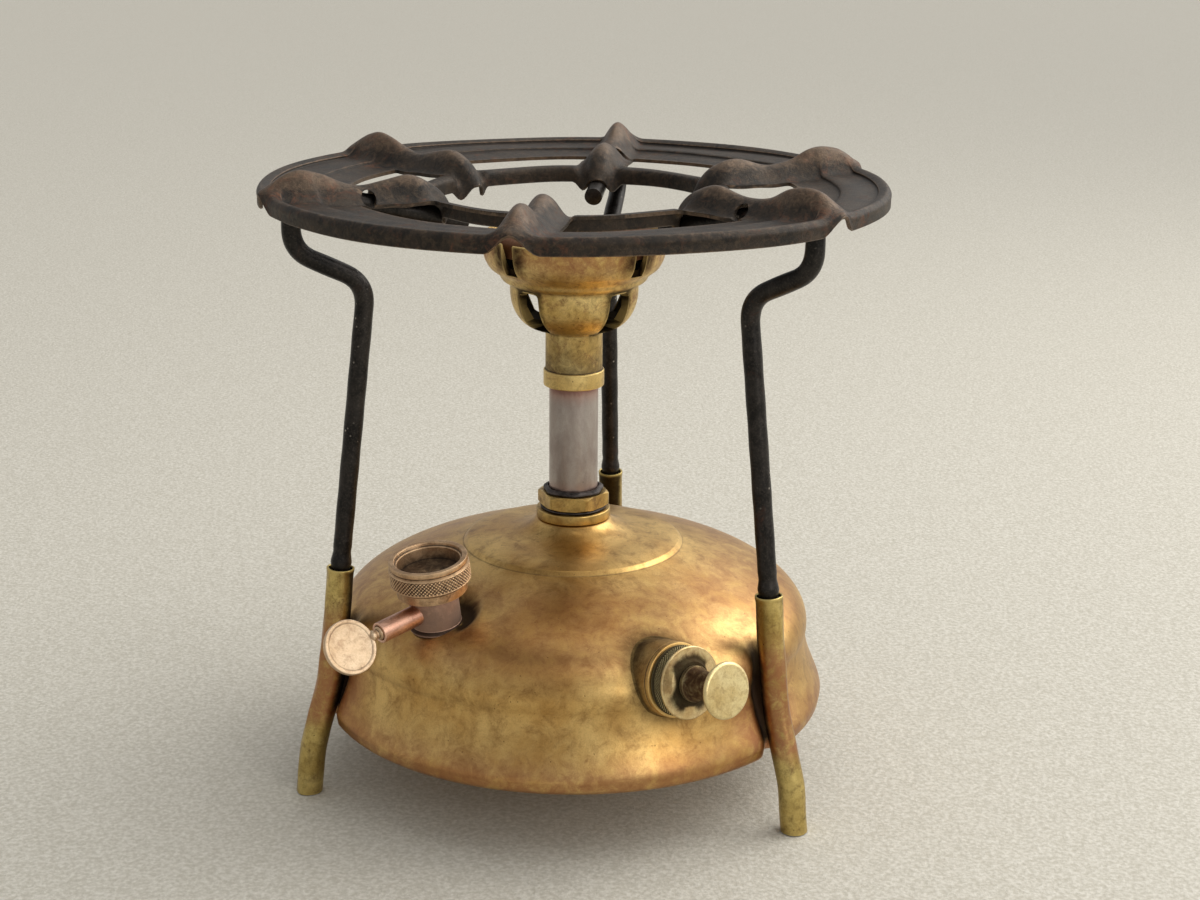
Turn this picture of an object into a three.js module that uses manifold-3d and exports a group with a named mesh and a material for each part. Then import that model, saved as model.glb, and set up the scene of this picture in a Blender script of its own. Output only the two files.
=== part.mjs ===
// Pressurised paraffin camping stove: a brass tank on three legs, with a pump, a filler and
// a silent burner on a riser, and a pressed steel pot ring that rests on three bent rods.
// Millimetres, +Z up. The origin is on the ground, on the axis of the tank and the burner.
import * as THREE from 'three';
import { mergeVertices } from 'three/addons/utils/BufferGeometryUtils.js';
import Module from 'manifold-3d';

const wasm = await Module();
wasm.setup();

// ---- driving dimensions -------------------------------------------------------------------
const GAP = 0.3;                    // clearance between pieces that touch or fit together
const LEG_ANGLES = { back: 80, left: 200, right: 320 };

// tank
const TANK_RADIUS = 88.6;           // widest, at the bead above the bottom edge
const TANK_BOTTOM = 25;             // height of the bottom edge above the ground
const TANK_TOP = 89.7;              // flat land under the riser's socket
const TANK_WALL = 1;
const BEAD_HEIGHT = 4.6;            // above the bottom edge
const WAIST_HEIGHT = 25;            // where the upright wall meets the shoulder
const WAIST_INSET = 6.2;            // how far the upright wall stands in from the bead
const BOSS_RADIUS = 37;             // raised centre of the tank's top
const BOSS_DROP = 7.2;              // edge of the boss below the land
const BOSS_STEP = 1.7;              // step from the boss down to the shoulder
const BASE_RISE = 3;                // how far the base plate is dished upwards
const FLUTE_MARGIN = 3;             // flute wider than the leg tube, each side
const FLUTE_TOP = 41;               // above the bottom edge

// legs
const TUBE_TOP = 80.2;
const FOOT_SPLAY = 8.4;             // foot outside the tank's widest radius
const TUBE_TOP_INSET = 4.9;         // tube's top inside the tank's widest radius
const ROD_RADIUS = 3.15;
const ROD_FIT = 0.7;                // clearance of the rod in its tube
const TUBE_WALL = 0.65;
const ROD_PLUG = 13;                // length of rod inside the tube
const ROD_WAIST = 72.2;             // radius where the rod stands closest to the axis
const ROD_WAIST_DROP = 24.8;        // that corner below the ring's skirt
const ROD_SHOULDER_INSET = 8.6;     // rod's outer upright inside the ring's rim
const ROD_SHOULDER_DROP = 12.9;     // the upright's lower corner below the ring's skirt
const ROD_TIP = 37;                 // radius of the rod's inner end
const ROD_TIP_DROP = 3.64;          // top of the rod's tip below the ring's skirt
const ROD_CLIMB = 13.9;             // rise of the rod from its tip to its shoulder

// pot ring
const RING_RADIUS = 105;
const RING_SKIRT = 202.7;           // height of the skirt's lower edge
const RING_WALL = 1.2;
const RING_HOOP = 48;               // radius of the inner hoop
const SLOT_INNER = 52;
const SLOT_OUTER = 76;
const RIDGE_COUNT = 6;
const RIDGE_MARGIN = 5.05;          // ridge's half width outside the rod
const FLANK_HOLE_RADIUS = 2.4;

// riser and burner
const RISER_OUTER = 8.45;
const RISER_WALL = 1.95;
const RISER_TOP = 149.7;
const COLLAR_WALL = 4.15;           // collar outside the riser's fit
const COLLAR_HEIGHT = 3.4;
const SOCKET_WALL = 1.2;
const WASHER_WALL = 2.75;
const SEAL_WALL = 1.65;
const PICKUP_OUTER = 4;
const PICKUP_BORE = 3;
const NUT_WALL = 2.25;              // from the bore to a flat
const NUT_HEIGHT = 4.9;
const NUT_TURN = -8;                // degrees
const SLEEVE_BOTTOM = 137.5;
const SLEEVE_WALL = 1;
const CAGE_BOTTOM = 157.4;
const CAGE_RADIUS = 21.8;
const CUP_BOTTOM = 172.4;
const CUP_TOP = 190;
const CUP_RADIUS = 31.6;
const MIXER_BORE = 11;
const JET_STEM = 3;
const WINDOW_COUNT = 4;
const WINDOW_WIDTH = 8.8;
const WINDOW_HEIGHT = 14;
const NOTCH_WIDTH = 5.2;            // notches in the cup's wall, one above each window
const NOTCH_DEPTH = 10.8;

// filler, in its own frame: Z along the neck, from the floor of the pocket
const FILLER_ANGLE = 228;
const FILLER_INSET = 21.6;          // inside the tank's widest radius
const FILLER_DROP = 20.4;           // floor of the pocket below the tank's top
const FILLER_TILT = 8.8;            // degrees outwards
const POCKET_FLAT = 10.5;           // radius of the flat floor round the neck
const POCKET_RADIUS = 17;
const NECK_BODY = 8.2;
const NECK_SHOULDER = 11.2;
const NECK_OUTER = 6.6;             // where the cap screws on
const NECK_BORE = 4.9;
const NECK_TOP = 14.5;
const CAP_BOTTOM = 11.8;
const CAP_HEIGHT = 12;
const CAP_RADIUS = 13.3;
const ARM_HEIGHT = 5.8;
const ARM_RADIUS = 3.5;
const ARM_LENGTH = 23;
const ARM_ANGLE = -6;               // degrees from straight outwards
const SCREW_RADIUS = 1.45;
const THUMB_RADIUS = 9;
const THUMB_THICKNESS = 1.8;
const THUMB_CENTRE = 34.7;
const THUMB_TURN = -33;             // degrees, about the screw's own axis

// pump, in its own frame: Z outwards along the barrel, from the cap's outer face
const PUMP_ANGLE = 307;
const PUMP_RISE = 11;               // degrees upwards
const PUMP_FACE_ANGLE = 294.629;    // where the cap's face stands, seen from above
const PUMP_FACE_REACH = 1.386;      // outside the tank's widest radius
const PUMP_HEIGHT = 36.5;           // above the tank's bottom
const BARREL_OUTER = 9.5;
const BARREL_WALL = 0.7;
const BARREL_LENGTH = 100;
const BARREL_FLOOR = 2;
const PUMP_CAP_RIM = 2.2;           // cap's face outside the barrel
const PUMP_CAP_LENGTH = 6.3;
const PUMP_CAP_WALL = 1.5;
const FLANGE_RIM = 2.7;             // flange outside the barrel
const FLANGE_LENGTH = 6;
const PUMP_ROD = 2.4;
const KNOB_RADIUS = 9.1;
const KNOB_LENGTH = 18;
const KNOB_DISC = 1.8;
const SHANK_BASE = 5.8;
const SHANK_NECK = 4.5;
const VALVE_STEM = 4.6;
const VALVE_FLANGE = 6.8;
const VALVE_LENGTH = 13.3;
const VALVE_BORE = 3.4;
const PIP_RADIUS = 2.7;

// ---- sizes that follow from them ------------------------------------------------------------
const TUBE_BORE = ROD_RADIUS + ROD_FIT;
const TUBE_OUTER = TUBE_BORE + TUBE_WALL;
const FLUTE_DEPTH = TUBE_OUTER - 0.5;
const FLUTE_HALF_WIDTH = TUBE_OUTER + FLUTE_MARGIN;
const RIDGE_HALF_WIDTH = ROD_RADIUS + RIDGE_MARGIN;
const SADDLE_R = (RING_RADIUS + RING_HOOP) / 2 - 1.5;
const RISER_FIT = RISER_OUTER + GAP;
const RISER_BORE = RISER_OUTER - RISER_WALL;
const COLLAR_RADIUS = RISER_FIT + COLLAR_WALL;
const SOCKET_STEM = RISER_FIT + SOCKET_WALL;
const NUT_ACROSS_FLATS = 2 * (RISER_FIT + NUT_WALL);
const SLEEVE_RADIUS = RISER_FIT + SLEEVE_WALL;
const FILLER_RADIUS = TANK_RADIUS - FILLER_INSET;
const FILLER_FLOOR = TANK_TOP - FILLER_DROP;
const BARREL_BORE = BARREL_OUTER - BARREL_WALL;
const PUMP_CAP_RADIUS = BARREL_OUTER + PUMP_CAP_RIM;
const FLANGE_RADIUS = BARREL_OUTER + FLANGE_RIM;

// ---- helpers ------------------------------------------------------------------------------
const rad = THREE.MathUtils.degToRad;

// Revolves [radius, height] points round Z. The first column of points lies at angle 0.
function turned(points, segments = 20) {
  const outline = points.map(([r, z]) => new THREE.Vector2(r, z));
  return new THREE.LatheGeometry(outline, segments).rotateX(Math.PI / 2).rotateZ(Math.PI / 2);
}

// Revolves a loop of points that never meets the axis, such as a ring's section.
const turnedRing = (points, segments) => turned([...points, points[0]], segments);

// A plain bush or washer.
function bush(outer, bore, low, high, segments) {
  return turnedRing([[bore, low], [outer, low], [outer, high], [bore, high]], segments);
}

function rodAlong(radius, low, high, segments = 12) {
  return turned([[0, low], [radius, low], [radius, high], [0, high]], segments);
}

// Makes a geometry one closed solid with its faces pointing out.
function solid(geometry) {
  const bare = new THREE.BufferGeometry();
  bare.setAttribute('position', geometry.getAttribute('position').clone());
  if (geometry.index) bare.setIndex(geometry.index.clone());
  const merged = mergeVertices(bare, 1e-3);
  const position = merged.getAttribute('position');
  const faces = [];
  let volume = 0;
  for (let i = 0; i < merged.index.count; i += 3) {
    const [a, b, c] = [0, 1, 2].map((k) => merged.index.getX(i + k));
    if (a === b || b === c || c === a) continue;
    faces.push(a, b, c);
    const [p, q, r] = [a, b, c].map((k) => new THREE.Vector3().fromBufferAttribute(position, k));
    volume += p.dot(q.cross(r));
  }
  if (volume < 0) faces.reverse();
  return new wasm.Manifold(new wasm.Mesh({
    numProp: 3,
    vertProperties: new Float32Array(position.array),
    triVerts: new Uint32Array(faces),
  }));
}

function toGeometry(manifold) {
  const mesh = manifold.getMesh();
  const geometry = new THREE.BufferGeometry();
  geometry.setAttribute('position', new THREE.BufferAttribute(new Float32Array(mesh.vertProperties), 3));
  geometry.setIndex(new THREE.BufferAttribute(new Uint32Array(mesh.triVerts), 1));
  return geometry;
}

function cut(geometry, ...tools) {
  return toGeometry(tools.reduce((body, tool) => body.subtract(solid(tool)), solid(geometry)));
}

// Sweeps a round section, hollow if it has a bore, along a curve.
function swept(path, radius, bore, sides, steps) {
  const section = new THREE.Shape().absarc(0, 0, radius, 0, 2 * Math.PI);
  if (bore > 0) section.holes.push(new THREE.Path().absarc(0, 0, bore, 0, 2 * Math.PI, true));
  return new THREE.ExtrudeGeometry(section, {
    extrudePath: path, steps, curveSegments: sides, bevelEnabled: false,
  });
}

// Moves an open outline sideways by a distance, to its right as it is walked.
function offset(points, distance) {
  return points.map((point, i) => {
    const before = points[Math.max(i - 1, 0)];
    const after = points[Math.min(i + 1, points.length - 1)];
    const length = Math.hypot(after[0] - before[0], after[1] - before[1]);
    const along = [(after[0] - before[0]) / length, (after[1] - before[1]) / length];
    return [point[0] + along[1] * distance, point[1] - along[0] * distance];
  });
}

const bezier = (points, count) => {
  const curve = new THREE.CubicBezierCurve(...points.map(([r, z]) => new THREE.Vector2(r, z)));
  return curve.getPoints(count).map((p) => [p.x, p.y]);
};

// 1 at the middle of a rounded fold and 0 at its feet.
const fold = (share) => (Math.abs(share) < 1 ? (1 + Math.cos(Math.PI * share)) / 2 : 0);

// ---- materials ----------------------------------------------------------------------------
function metal(color, roughness) {
  return new THREE.MeshStandardMaterial({ color, roughness, metalness: 1 });
}
const finish = {
  agedBrass: metal(0xa87d3c, 0.42),
  yellowBrass: metal(0xb89a4e, 0.45),
  rosyBrass: metal(0xb5835f, 0.4),
  paleBrass: metal(0xd8c48a, 0.35),
  blackSteel: metal(0x2b2824, 0.6),
  rustySteel: metal(0x4a4038, 0.65),
  riserSteel: metal(0x8d8283, 0.4),
  lead: metal(0x5c5a58, 0.6),
  leather: new THREE.MeshStandardMaterial({ color: 0x5a3b22, roughness: 0.8 }),
  rubber: new THREE.MeshStandardMaterial({ color: 0x1c1b1a, roughness: 0.8 }),
};

const stove = new THREE.Group();

function add(name, geometry, material, parent = stove) {
  const mesh = new THREE.Mesh(geometry, material);
  mesh.name = name;
  parent.add(mesh);
  return mesh;
}

// ---- tank ---------------------------------------------------------------------------------
const WAIST_R = TANK_RADIUS - WAIST_INSET;
const BEAD_Z = TANK_BOTTOM + BEAD_HEIGHT;
const WAIST_Z = TANK_BOTTOM + WAIST_HEIGHT;
const BOSS_Z = TANK_TOP - BOSS_DROP;
const SHOULDER_Z = BOSS_Z - BOSS_STEP;
const SHOULDER_R = BOSS_RADIUS + BOSS_STEP;
const SOCKET_HOLE = SOCKET_STEM + GAP;

// Outline of the shell from its bottom edge up over the bead, wall, shoulder and boss.
const wallOutline = [
  [TANK_RADIUS - 2.4, TANK_BOTTOM],
  [TANK_RADIUS - 0.5, TANK_BOTTOM + BEAD_HEIGHT / 2],
  [TANK_RADIUS, BEAD_Z],
  ...bezier([[TANK_RADIUS - 0.6, BEAD_Z + 3.5], [TANK_RADIUS - 3.4, BEAD_Z + 10],
    [WAIST_R + 0.2, BEAD_Z + 13], [WAIST_R, WAIST_Z]], 3),
];
const shoulderOutline = bezier([[WAIST_R, WAIST_Z], [WAIST_R + 4.2, WAIST_Z + 15],
  [SHOULDER_R + 25.3, SHOULDER_Z - 6.8], [SHOULDER_R, SHOULDER_Z]], 7).slice(1);
const bossOutline = bezier([[BOSS_RADIUS - 0.3, BOSS_Z], [BOSS_RADIUS - 9, BOSS_Z + 2.8],
  [COLLAR_RADIUS + 4, BOSS_Z + 1.5], [COLLAR_RADIUS + 0.4, TANK_TOP]], 3);
const shellOutline = [...wallOutline, ...shoulderOutline, ...bossOutline, [SOCKET_HOLE, TANK_TOP]];

// Columns of the revolved tank, in degrees from a leg: close together across a flute.
const FLUTE_COLUMNS = [0, 2.6, 5.2, FLUTE_HALF_WIDTH];
const FREE_COLUMNS = 11;
const SECTOR_COLUMNS = 2 * FLUTE_COLUMNS.length - 1 + FREE_COLUMNS;
const TANK_SEGMENTS = 3 * SECTOR_COLUMNS;

// Angle from the nearest leg and sideways distance at the bead, for column 0 to SECTOR_COLUMNS.
function columnAngle(column) {
  const last = FLUTE_COLUMNS.length - 1;
  const at = (distance) => THREE.MathUtils.radToDeg(Math.asin(distance / TANK_RADIUS));
  if (column <= last) return at(FLUTE_COLUMNS[column]);
  if (column >= SECTOR_COLUMNS - last) return 120 - at(FLUTE_COLUMNS[SECTOR_COLUMNS - column]);
  const free = (column - last) / (SECTOR_COLUMNS - 2 * last);
  const edge = at(FLUTE_COLUMNS[last]);
  return edge + free * (120 - 2 * edge);
}

const fillerAxis = {
  x: FILLER_RADIUS * Math.cos(rad(FILLER_ANGLE)),
  y: FILLER_RADIUS * Math.sin(rad(FILLER_ANGLE)),
};

// Highest the tank's skin may reach at a point, because of the pocket round the filler neck.
function pocketHeight(x, y) {
  const outward = Math.hypot(x, y) - FILLER_RADIUS;
  const away = Math.hypot(x - fillerAxis.x, y - fillerAxis.y);
  const climb = Math.max(away - POCKET_FLAT, 0) / (POCKET_RADIUS - POCKET_FLAT);
  return FILLER_FLOOR - outward * Math.tan(rad(FILLER_TILT)) + 10 * climb ** 2;
}

// Presses the three flutes and the filler pocket into a revolved tank piece.
function pressed(geometry, drop) {
  const position = geometry.getAttribute('position');
  for (let i = 0; i < position.count; i += 1) {
    const [x, y, z] = [position.getX(i), position.getY(i), position.getZ(i)];
    const radius = Math.hypot(x, y);
    const turn = (THREE.MathUtils.radToDeg(Math.atan2(y, x)) - LEG_ANGLES.back + 720) % 360;
    const whole = Math.round((turn / 360) * TANK_SEGMENTS) % TANK_SEGMENTS;
    const fromLeg = columnAngle(whole % SECTOR_COLUMNS);
    const angle = rad(LEG_ANGLES.back + 120 * Math.floor(whole / SECTOR_COLUMNS) + fromLeg);
    const sideways = TANK_RADIUS * Math.sin(rad(Math.min(fromLeg, 120 - fromLeg)));
    const below = THREE.MathUtils.clamp((TANK_BOTTOM + FLUTE_TOP - z) / 12, 0, 1);
    const rim = THREE.MathUtils.clamp((radius - 0.8 * TANK_RADIUS) / (0.1 * TANK_RADIUS), 0, 1);
    const depth = FLUTE_DEPTH * fold(sideways / FLUTE_HALF_WIDTH) * below * rim;
    const [px, py] = [(radius - depth) * Math.cos(angle), (radius - depth) * Math.sin(angle)];
    position.setXYZ(i, px, py, Math.min(z, pocketHeight(px, py) - drop(i)));
  }
  return geometry;
}

// The lathe is turned to bring its first column to the back leg.
const tankLathe = (points) => turnedRing(points, TANK_SEGMENTS).rotateZ(rad(LEG_ANGLES.back));

const innerOutline = offset(shellOutline, -TANK_WALL);
innerOutline[0][1] = TANK_BOTTOM;
innerOutline[innerOutline.length - 1] = [SOCKET_HOLE, TANK_TOP - TANK_WALL];
const shellSection = [...shellOutline, ...[...innerOutline].reverse()];
const shellGeometry = pressed(tankLathe(shellSection), (i) => {
  const point = i % (shellSection.length + 1);
  return point < shellOutline.length || point === shellSection.length ? 0 : TANK_WALL;
});

// ---- frames of the filler and the pump ------------------------------------------------------
const filler = new THREE.Group();
filler.position.set(fillerAxis.x, fillerAxis.y, FILLER_FLOOR);
filler.rotation.set(0, rad(FILLER_TILT), rad(FILLER_ANGLE), 'ZYX');
const pump = new THREE.Group();
const pumpReach = TANK_RADIUS + PUMP_FACE_REACH;
pump.position.set(pumpReach * Math.cos(rad(PUMP_FACE_ANGLE)), pumpReach * Math.sin(rad(PUMP_FACE_ANGLE)),
  TANK_BOTTOM + PUMP_HEIGHT);
pump.rotation.set(0, rad(90 - PUMP_RISE), rad(PUMP_ANGLE), 'ZYX');
stove.add(filler, pump);
stove.updateMatrixWorld(true);

const neckHole = rodAlong(NECK_BODY + GAP, -12, 12, 24).applyMatrix4(filler.matrixWorld);
const barrelHole = rodAlong(BARREL_OUTER + GAP, -30, 10, 24).applyMatrix4(pump.matrixWorld);
add('tank_shell', cut(shellGeometry, neckHole, barrelHole), finish.agedBrass);

// The base plate is a shallow dish that stands inside the shell's bottom edge.
const plateEdge = TANK_RADIUS - 2.4 - TANK_WALL - GAP;
const plateTop = [[plateEdge, TANK_BOTTOM + 0.4], [plateEdge - 1, TANK_BOTTOM + 2.6],
  [plateEdge - 8, TANK_BOTTOM + 0.6], [plateEdge - 20, TANK_BOTTOM + 0.6],
  [plateEdge - 30, TANK_BOTTOM + BASE_RISE], [0, TANK_BOTTOM + BASE_RISE + 0.4]];
const plateBottom = [[0, TANK_BOTTOM + BASE_RISE - 0.6], [plateEdge - 30, TANK_BOTTOM + BASE_RISE - 1],
  [plateEdge - 20, TANK_BOTTOM - 0.4], [plateEdge - 8, TANK_BOTTOM - 0.4],
  [plateEdge - 2.2, TANK_BOTTOM + 1], [plateEdge - 1, TANK_BOTTOM + 0.4]];
add('tank_base', pressed(tankLathe([...plateTop, ...plateBottom]), () => 0), finish.agedBrass);

// ---- legs ---------------------------------------------------------------------------------
// A leg lies in the plane of its angle: X is the radius there.
const inPlane = ([r, z]) => new THREE.Vector3(r, 0, z);
const TUBE_TOP_R = TANK_RADIUS - TUBE_TOP_INSET;
const tubePath = new THREE.CatmullRomCurve3([
  [TANK_RADIUS + FOOT_SPLAY + 0.6, -6],
  [TANK_RADIUS + FOOT_SPLAY, 0],
  [TANK_RADIUS + FOOT_SPLAY - 1.4, TANK_BOTTOM - 12],
  [TANK_RADIUS + FOOT_SPLAY - 3, TANK_BOTTOM - 4.5],
  [TANK_RADIUS + 3, BEAD_Z - 0.4],
  [TANK_RADIUS + 0.4, BEAD_Z + 8],
  [TANK_RADIUS - 0.9, BEAD_Z + 15],
  [(TANK_RADIUS - 1.2 + TUBE_TOP_R) / 2, (BEAD_Z + 15 + TUBE_TOP) / 2 - 1],
  [TUBE_TOP_R, TUBE_TOP],
].map(inPlane), false, 'catmullrom', 0.5);
const footPlane = new THREE.BoxGeometry(60, 60, 40).translate(TANK_RADIUS + FOOT_SPLAY, 0, -20);

// Straight runs joined by bends, each bend rounded about its corner.
function bentPath(corners, bends) {
  const points = corners.map(inPlane);
  const path = new THREE.CurvePath();
  let from = points[0];
  for (let i = 1; i < points.length - 1; i += 1) {
    const back = points[i - 1].clone().sub(points[i]).setLength(bends[i - 1]).add(points[i]);
    const ahead = points[i + 1].clone().sub(points[i]).setLength(bends[i - 1]).add(points[i]);
    path.add(new THREE.LineCurve3(from, back));
    path.add(new THREE.QuadraticBezierCurve3(back, points[i], ahead));
    from = ahead;
  }
  path.add(new THREE.LineCurve3(from, points[points.length - 1]));
  return path;
}

const ROD_SHOULDER = RING_RADIUS - ROD_SHOULDER_INSET;
const rodSlope = ROD_CLIMB / (ROD_SHOULDER - ROD_TIP);
const tipHeight = RING_SKIRT - ROD_TIP_DROP - ROD_RADIUS;
const rodHeight = (radius) => tipHeight + (radius - ROD_TIP) * rodSlope;
const plugSlope = 1.3 / 12;
const rodPath = bentPath([
  [TUBE_TOP_R + plugSlope * ROD_PLUG, TUBE_TOP - ROD_PLUG],
  [TUBE_TOP_R, TUBE_TOP],
  [ROD_WAIST, RING_SKIRT - ROD_WAIST_DROP],
  [ROD_SHOULDER, RING_SKIRT - ROD_SHOULDER_DROP],
  [ROD_SHOULDER, rodHeight(ROD_SHOULDER)],
  [ROD_TIP, rodHeight(ROD_TIP)],
], [3, 8, 7, 7.5]);

for (const [side, angle] of Object.entries(LEG_ANGLES)) {
  const tube = cut(swept(tubePath, TUBE_OUTER, TUBE_BORE, 5, 13), footPlane);
  add(`leg_tube_${side}`, tube, finish.yellowBrass).rotation.z = rad(angle);
  const rod = swept(rodPath, ROD_RADIUS, 0, 5, 34);
  add(`leg_rod_${side}`, rod, finish.blackSteel).rotation.z = rad(angle);
}

// ---- pot ring -------------------------------------------------------------------------------
// One pressed sheet. Between the ridges it follows the flat outline, along a ridge the crest.
const flatOutline = [
  [RING_RADIUS, 0], [RING_RADIUS, 3.9], [RING_RADIUS - 1.6, 5.4], [RING_RADIUS - 4, 4.6],
  [RING_RADIUS - 5.2, 3.6], [RING_RADIUS - 15.5, 3.6], [RING_RADIUS - 18, 2.5],
  [SLOT_OUTER, 1.9], [(SLOT_OUTER + SLOT_INNER) / 2, 1.9], [SLOT_INNER, 2.3],
  [RING_HOOP + 1.2, 2.3], [RING_HOOP, 1.1], [RING_HOOP, -2.9],
].map(([r, z]) => [r, RING_SKIRT + z]);
const crestOutline = [
  [RING_RADIUS + 1.6, 5.9], [RING_RADIUS + 0.6, 6.9], [RING_RADIUS - 1.6, 8.3],
  [RING_RADIUS - 4.5, 10.3], [RING_RADIUS - 8, 12], [RING_RADIUS - 13, 12.8],
  [RING_RADIUS - 19, 11.5], [SADDLE_R + 4, 8.3], [SADDLE_R - 4, 7.2],
  [RING_HOOP + 10.5, 9.8], [RING_HOOP + 3, 7.5], [RING_HOOP - 2, 3.3], [RING_HOOP - 4.6, -0.6],
].map(([r, z]) => [r, RING_SKIRT + z]);

const sheet = (outline) => [...outline, ...offset(outline, -RING_WALL).reverse()];
const flatSection = sheet(flatOutline);
const crestSection = sheet(crestOutline);
flatSection[flatSection.length - 1] = [RING_RADIUS - RING_WALL, RING_SKIRT];

const RIDGE_COLUMNS = [0, 2.7, 5.4, RIDGE_HALF_WIDTH];
const SPARE_COLUMNS = 2;
const PITCH_COLUMNS = 2 * RIDGE_COLUMNS.length - 1 + SPARE_COLUMNS;
const RING_SEGMENTS = RIDGE_COUNT * PITCH_COLUMNS;
const PITCH = 360 / RIDGE_COUNT;
const FIRST_RIDGE = LEG_ANGLES.back % PITCH;

function ridged() {
  const geometry = turnedRing(flatSection, RING_SEGMENTS);
  const position = geometry.getAttribute('position');
  const last = RIDGE_COLUMNS.length - 1;
  for (let i = 0; i < position.count; i += 1) {
    const column = Math.floor(i / (flatSection.length + 1)) % RING_SEGMENTS;
    const point = (i % (flatSection.length + 1)) % flatSection.length;
    const step = column % PITCH_COLUMNS;
    const near = Math.min(step, PITCH_COLUMNS - step);
    const sideways = near <= last ? RIDGE_COLUMNS[near] : RIDGE_HALF_WIDTH;
    const rise = near <= last ? fold(sideways / RIDGE_HALF_WIDTH) : 0;
    const r = THREE.MathUtils.lerp(flatSection[point][0], crestSection[point][0], rise);
    const z = THREE.MathUtils.lerp(flatSection[point][1], crestSection[point][1], rise);
    const edge = THREE.MathUtils.radToDeg(Math.asin(sideways / r));
    const share = (step - last) / (PITCH_COLUMNS - 2 * last);
    let turn = step <= last ? edge : PITCH - edge;
    if (near > last) turn = edge + share * (PITCH - 2 * edge);
    const angle = rad(FIRST_RIDGE + PITCH * Math.floor(column / PITCH_COLUMNS) + turn);
    position.setXYZ(i, r * Math.cos(angle), r * Math.sin(angle), z);
  }
  return geometry;
}

// An open slot between two ridges, with its sides parallel to them.
function slotCutter(middle) {
  const clear = RIDGE_HALF_WIDTH + 0.4;
  const outline = new THREE.Shape();
  for (const [radius, sweep] of [[SLOT_OUTER, 1], [SLOT_INNER, -1]]) {
    const reach = rad(PITCH / 2) - Math.asin(clear / radius);
    for (let k = 0; k <= 5; k += 1) {
      const angle = rad(middle) + sweep * reach * ((2 * k) / 5 - 1);
      const [x, y] = [radius * Math.cos(angle), radius * Math.sin(angle)];
      if (outline.curves.length === 0 && k === 0) outline.moveTo(x, y);
      else outline.lineTo(x, y);
    }
  }
  return new THREE.ExtrudeGeometry(outline, { depth: 12, bevelEnabled: false })
    .translate(0, 0, RING_SKIRT - 4);
}

const slots = [];
for (let k = 0; k < RIDGE_COUNT; k += 1) slots.push(slotCutter(FIRST_RIDGE + PITCH * (k + 0.5)));
const flankHoles = Object.values(LEG_ANGLES).map((angle) => rodAlong(FLANK_HOLE_RADIUS, -9, 9, 10)
  .rotateX(Math.PI / 2).translate(SADDLE_R - 3, 0, RING_SKIRT + 3.6).rotateZ(rad(angle)));
add('pot_ring', cut(ridged(), ...slots, ...flankHoles), finish.rustySteel);

// ---- riser ----------------------------------------------------------------------------------
const COLLAR_BOTTOM = TANK_TOP + GAP;
const COLLAR_TOP = COLLAR_BOTTOM + COLLAR_HEIGHT;
const RISER_BOTTOM = TANK_TOP - 3;
const SOCKET_BOTTOM = TANK_TOP - 9;
const PICKUP_FIT = PICKUP_OUTER + GAP;
add('riser_socket', turnedRing([
  [PICKUP_FIT, SOCKET_BOTTOM], [SOCKET_STEM, SOCKET_BOTTOM], [SOCKET_STEM, COLLAR_BOTTOM],
  [COLLAR_RADIUS, COLLAR_BOTTOM], [COLLAR_RADIUS, COLLAR_TOP], [RISER_FIT, COLLAR_TOP],
  [RISER_FIT, RISER_BOTTOM - GAP], [PICKUP_FIT, RISER_BOTTOM - GAP],
]), finish.yellowBrass);

const pickupBottom = TANK_BOTTOM + BASE_RISE + 4;
const pickup = bush(PICKUP_OUTER, PICKUP_BORE, pickupBottom, RISER_BOTTOM - 1, 16);
add('pickup_tube', pickup, finish.yellowBrass);

const washerTop = COLLAR_TOP + GAP + 0.5;
const washer = bush(RISER_FIT + WASHER_WALL, RISER_FIT, COLLAR_TOP + GAP, washerTop, 24);
add('riser_washer', washer, finish.lead);
const nutBottom = washerTop + GAP;
const nutOuter = NUT_ACROSS_FLATS / Math.sqrt(3);
const nutBore = rodAlong(RISER_FIT, nutBottom - 1, nutBottom + NUT_HEIGHT + 1, 24);
const nutBlank = rodAlong(nutOuter, nutBottom, nutBottom + NUT_HEIGHT, 6);
add('burner_nut', cut(nutBlank, nutBore), finish.yellowBrass).rotation.z = rad(-90 + NUT_TURN + 30);
const sealBottom = nutBottom + NUT_HEIGHT + GAP;
const sealRing = bush(RISER_FIT + SEAL_WALL, RISER_FIT, sealBottom, sealBottom + 1.4, 24);
add('riser_seal_ring', sealRing, finish.lead);
add('burner_riser', bush(RISER_OUTER, RISER_BORE, RISER_BOTTOM, RISER_TOP, 24), finish.riserSteel);

// ---- burner ---------------------------------------------------------------------------------
const cageOutline = bezier([[SLEEVE_RADIUS, CAGE_BOTTOM], [CAGE_RADIUS - 3.5, CAGE_BOTTOM - 0.2],
  [CAGE_RADIUS + 0.2, CUP_BOTTOM - 8], [CAGE_RADIUS, CUP_BOTTOM]], 4);
const bodyOutside = [
  [SLEEVE_RADIUS + 0.7, SLEEVE_BOTTOM], [SLEEVE_RADIUS + 0.7, SLEEVE_BOTTOM + 5.5],
  [SLEEVE_RADIUS, SLEEVE_BOTTOM + 5.5], ...cageOutline,
  [CAGE_RADIUS + 2.7, CUP_BOTTOM + 3.3], [CUP_RADIUS - 2.8, CUP_BOTTOM + 6.6],
  [CUP_RADIUS - 0.4, CUP_BOTTOM + 12.2], [CUP_RADIUS, CUP_TOP],
];
const cageFloor = CAGE_BOTTOM + 2.6;
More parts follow.
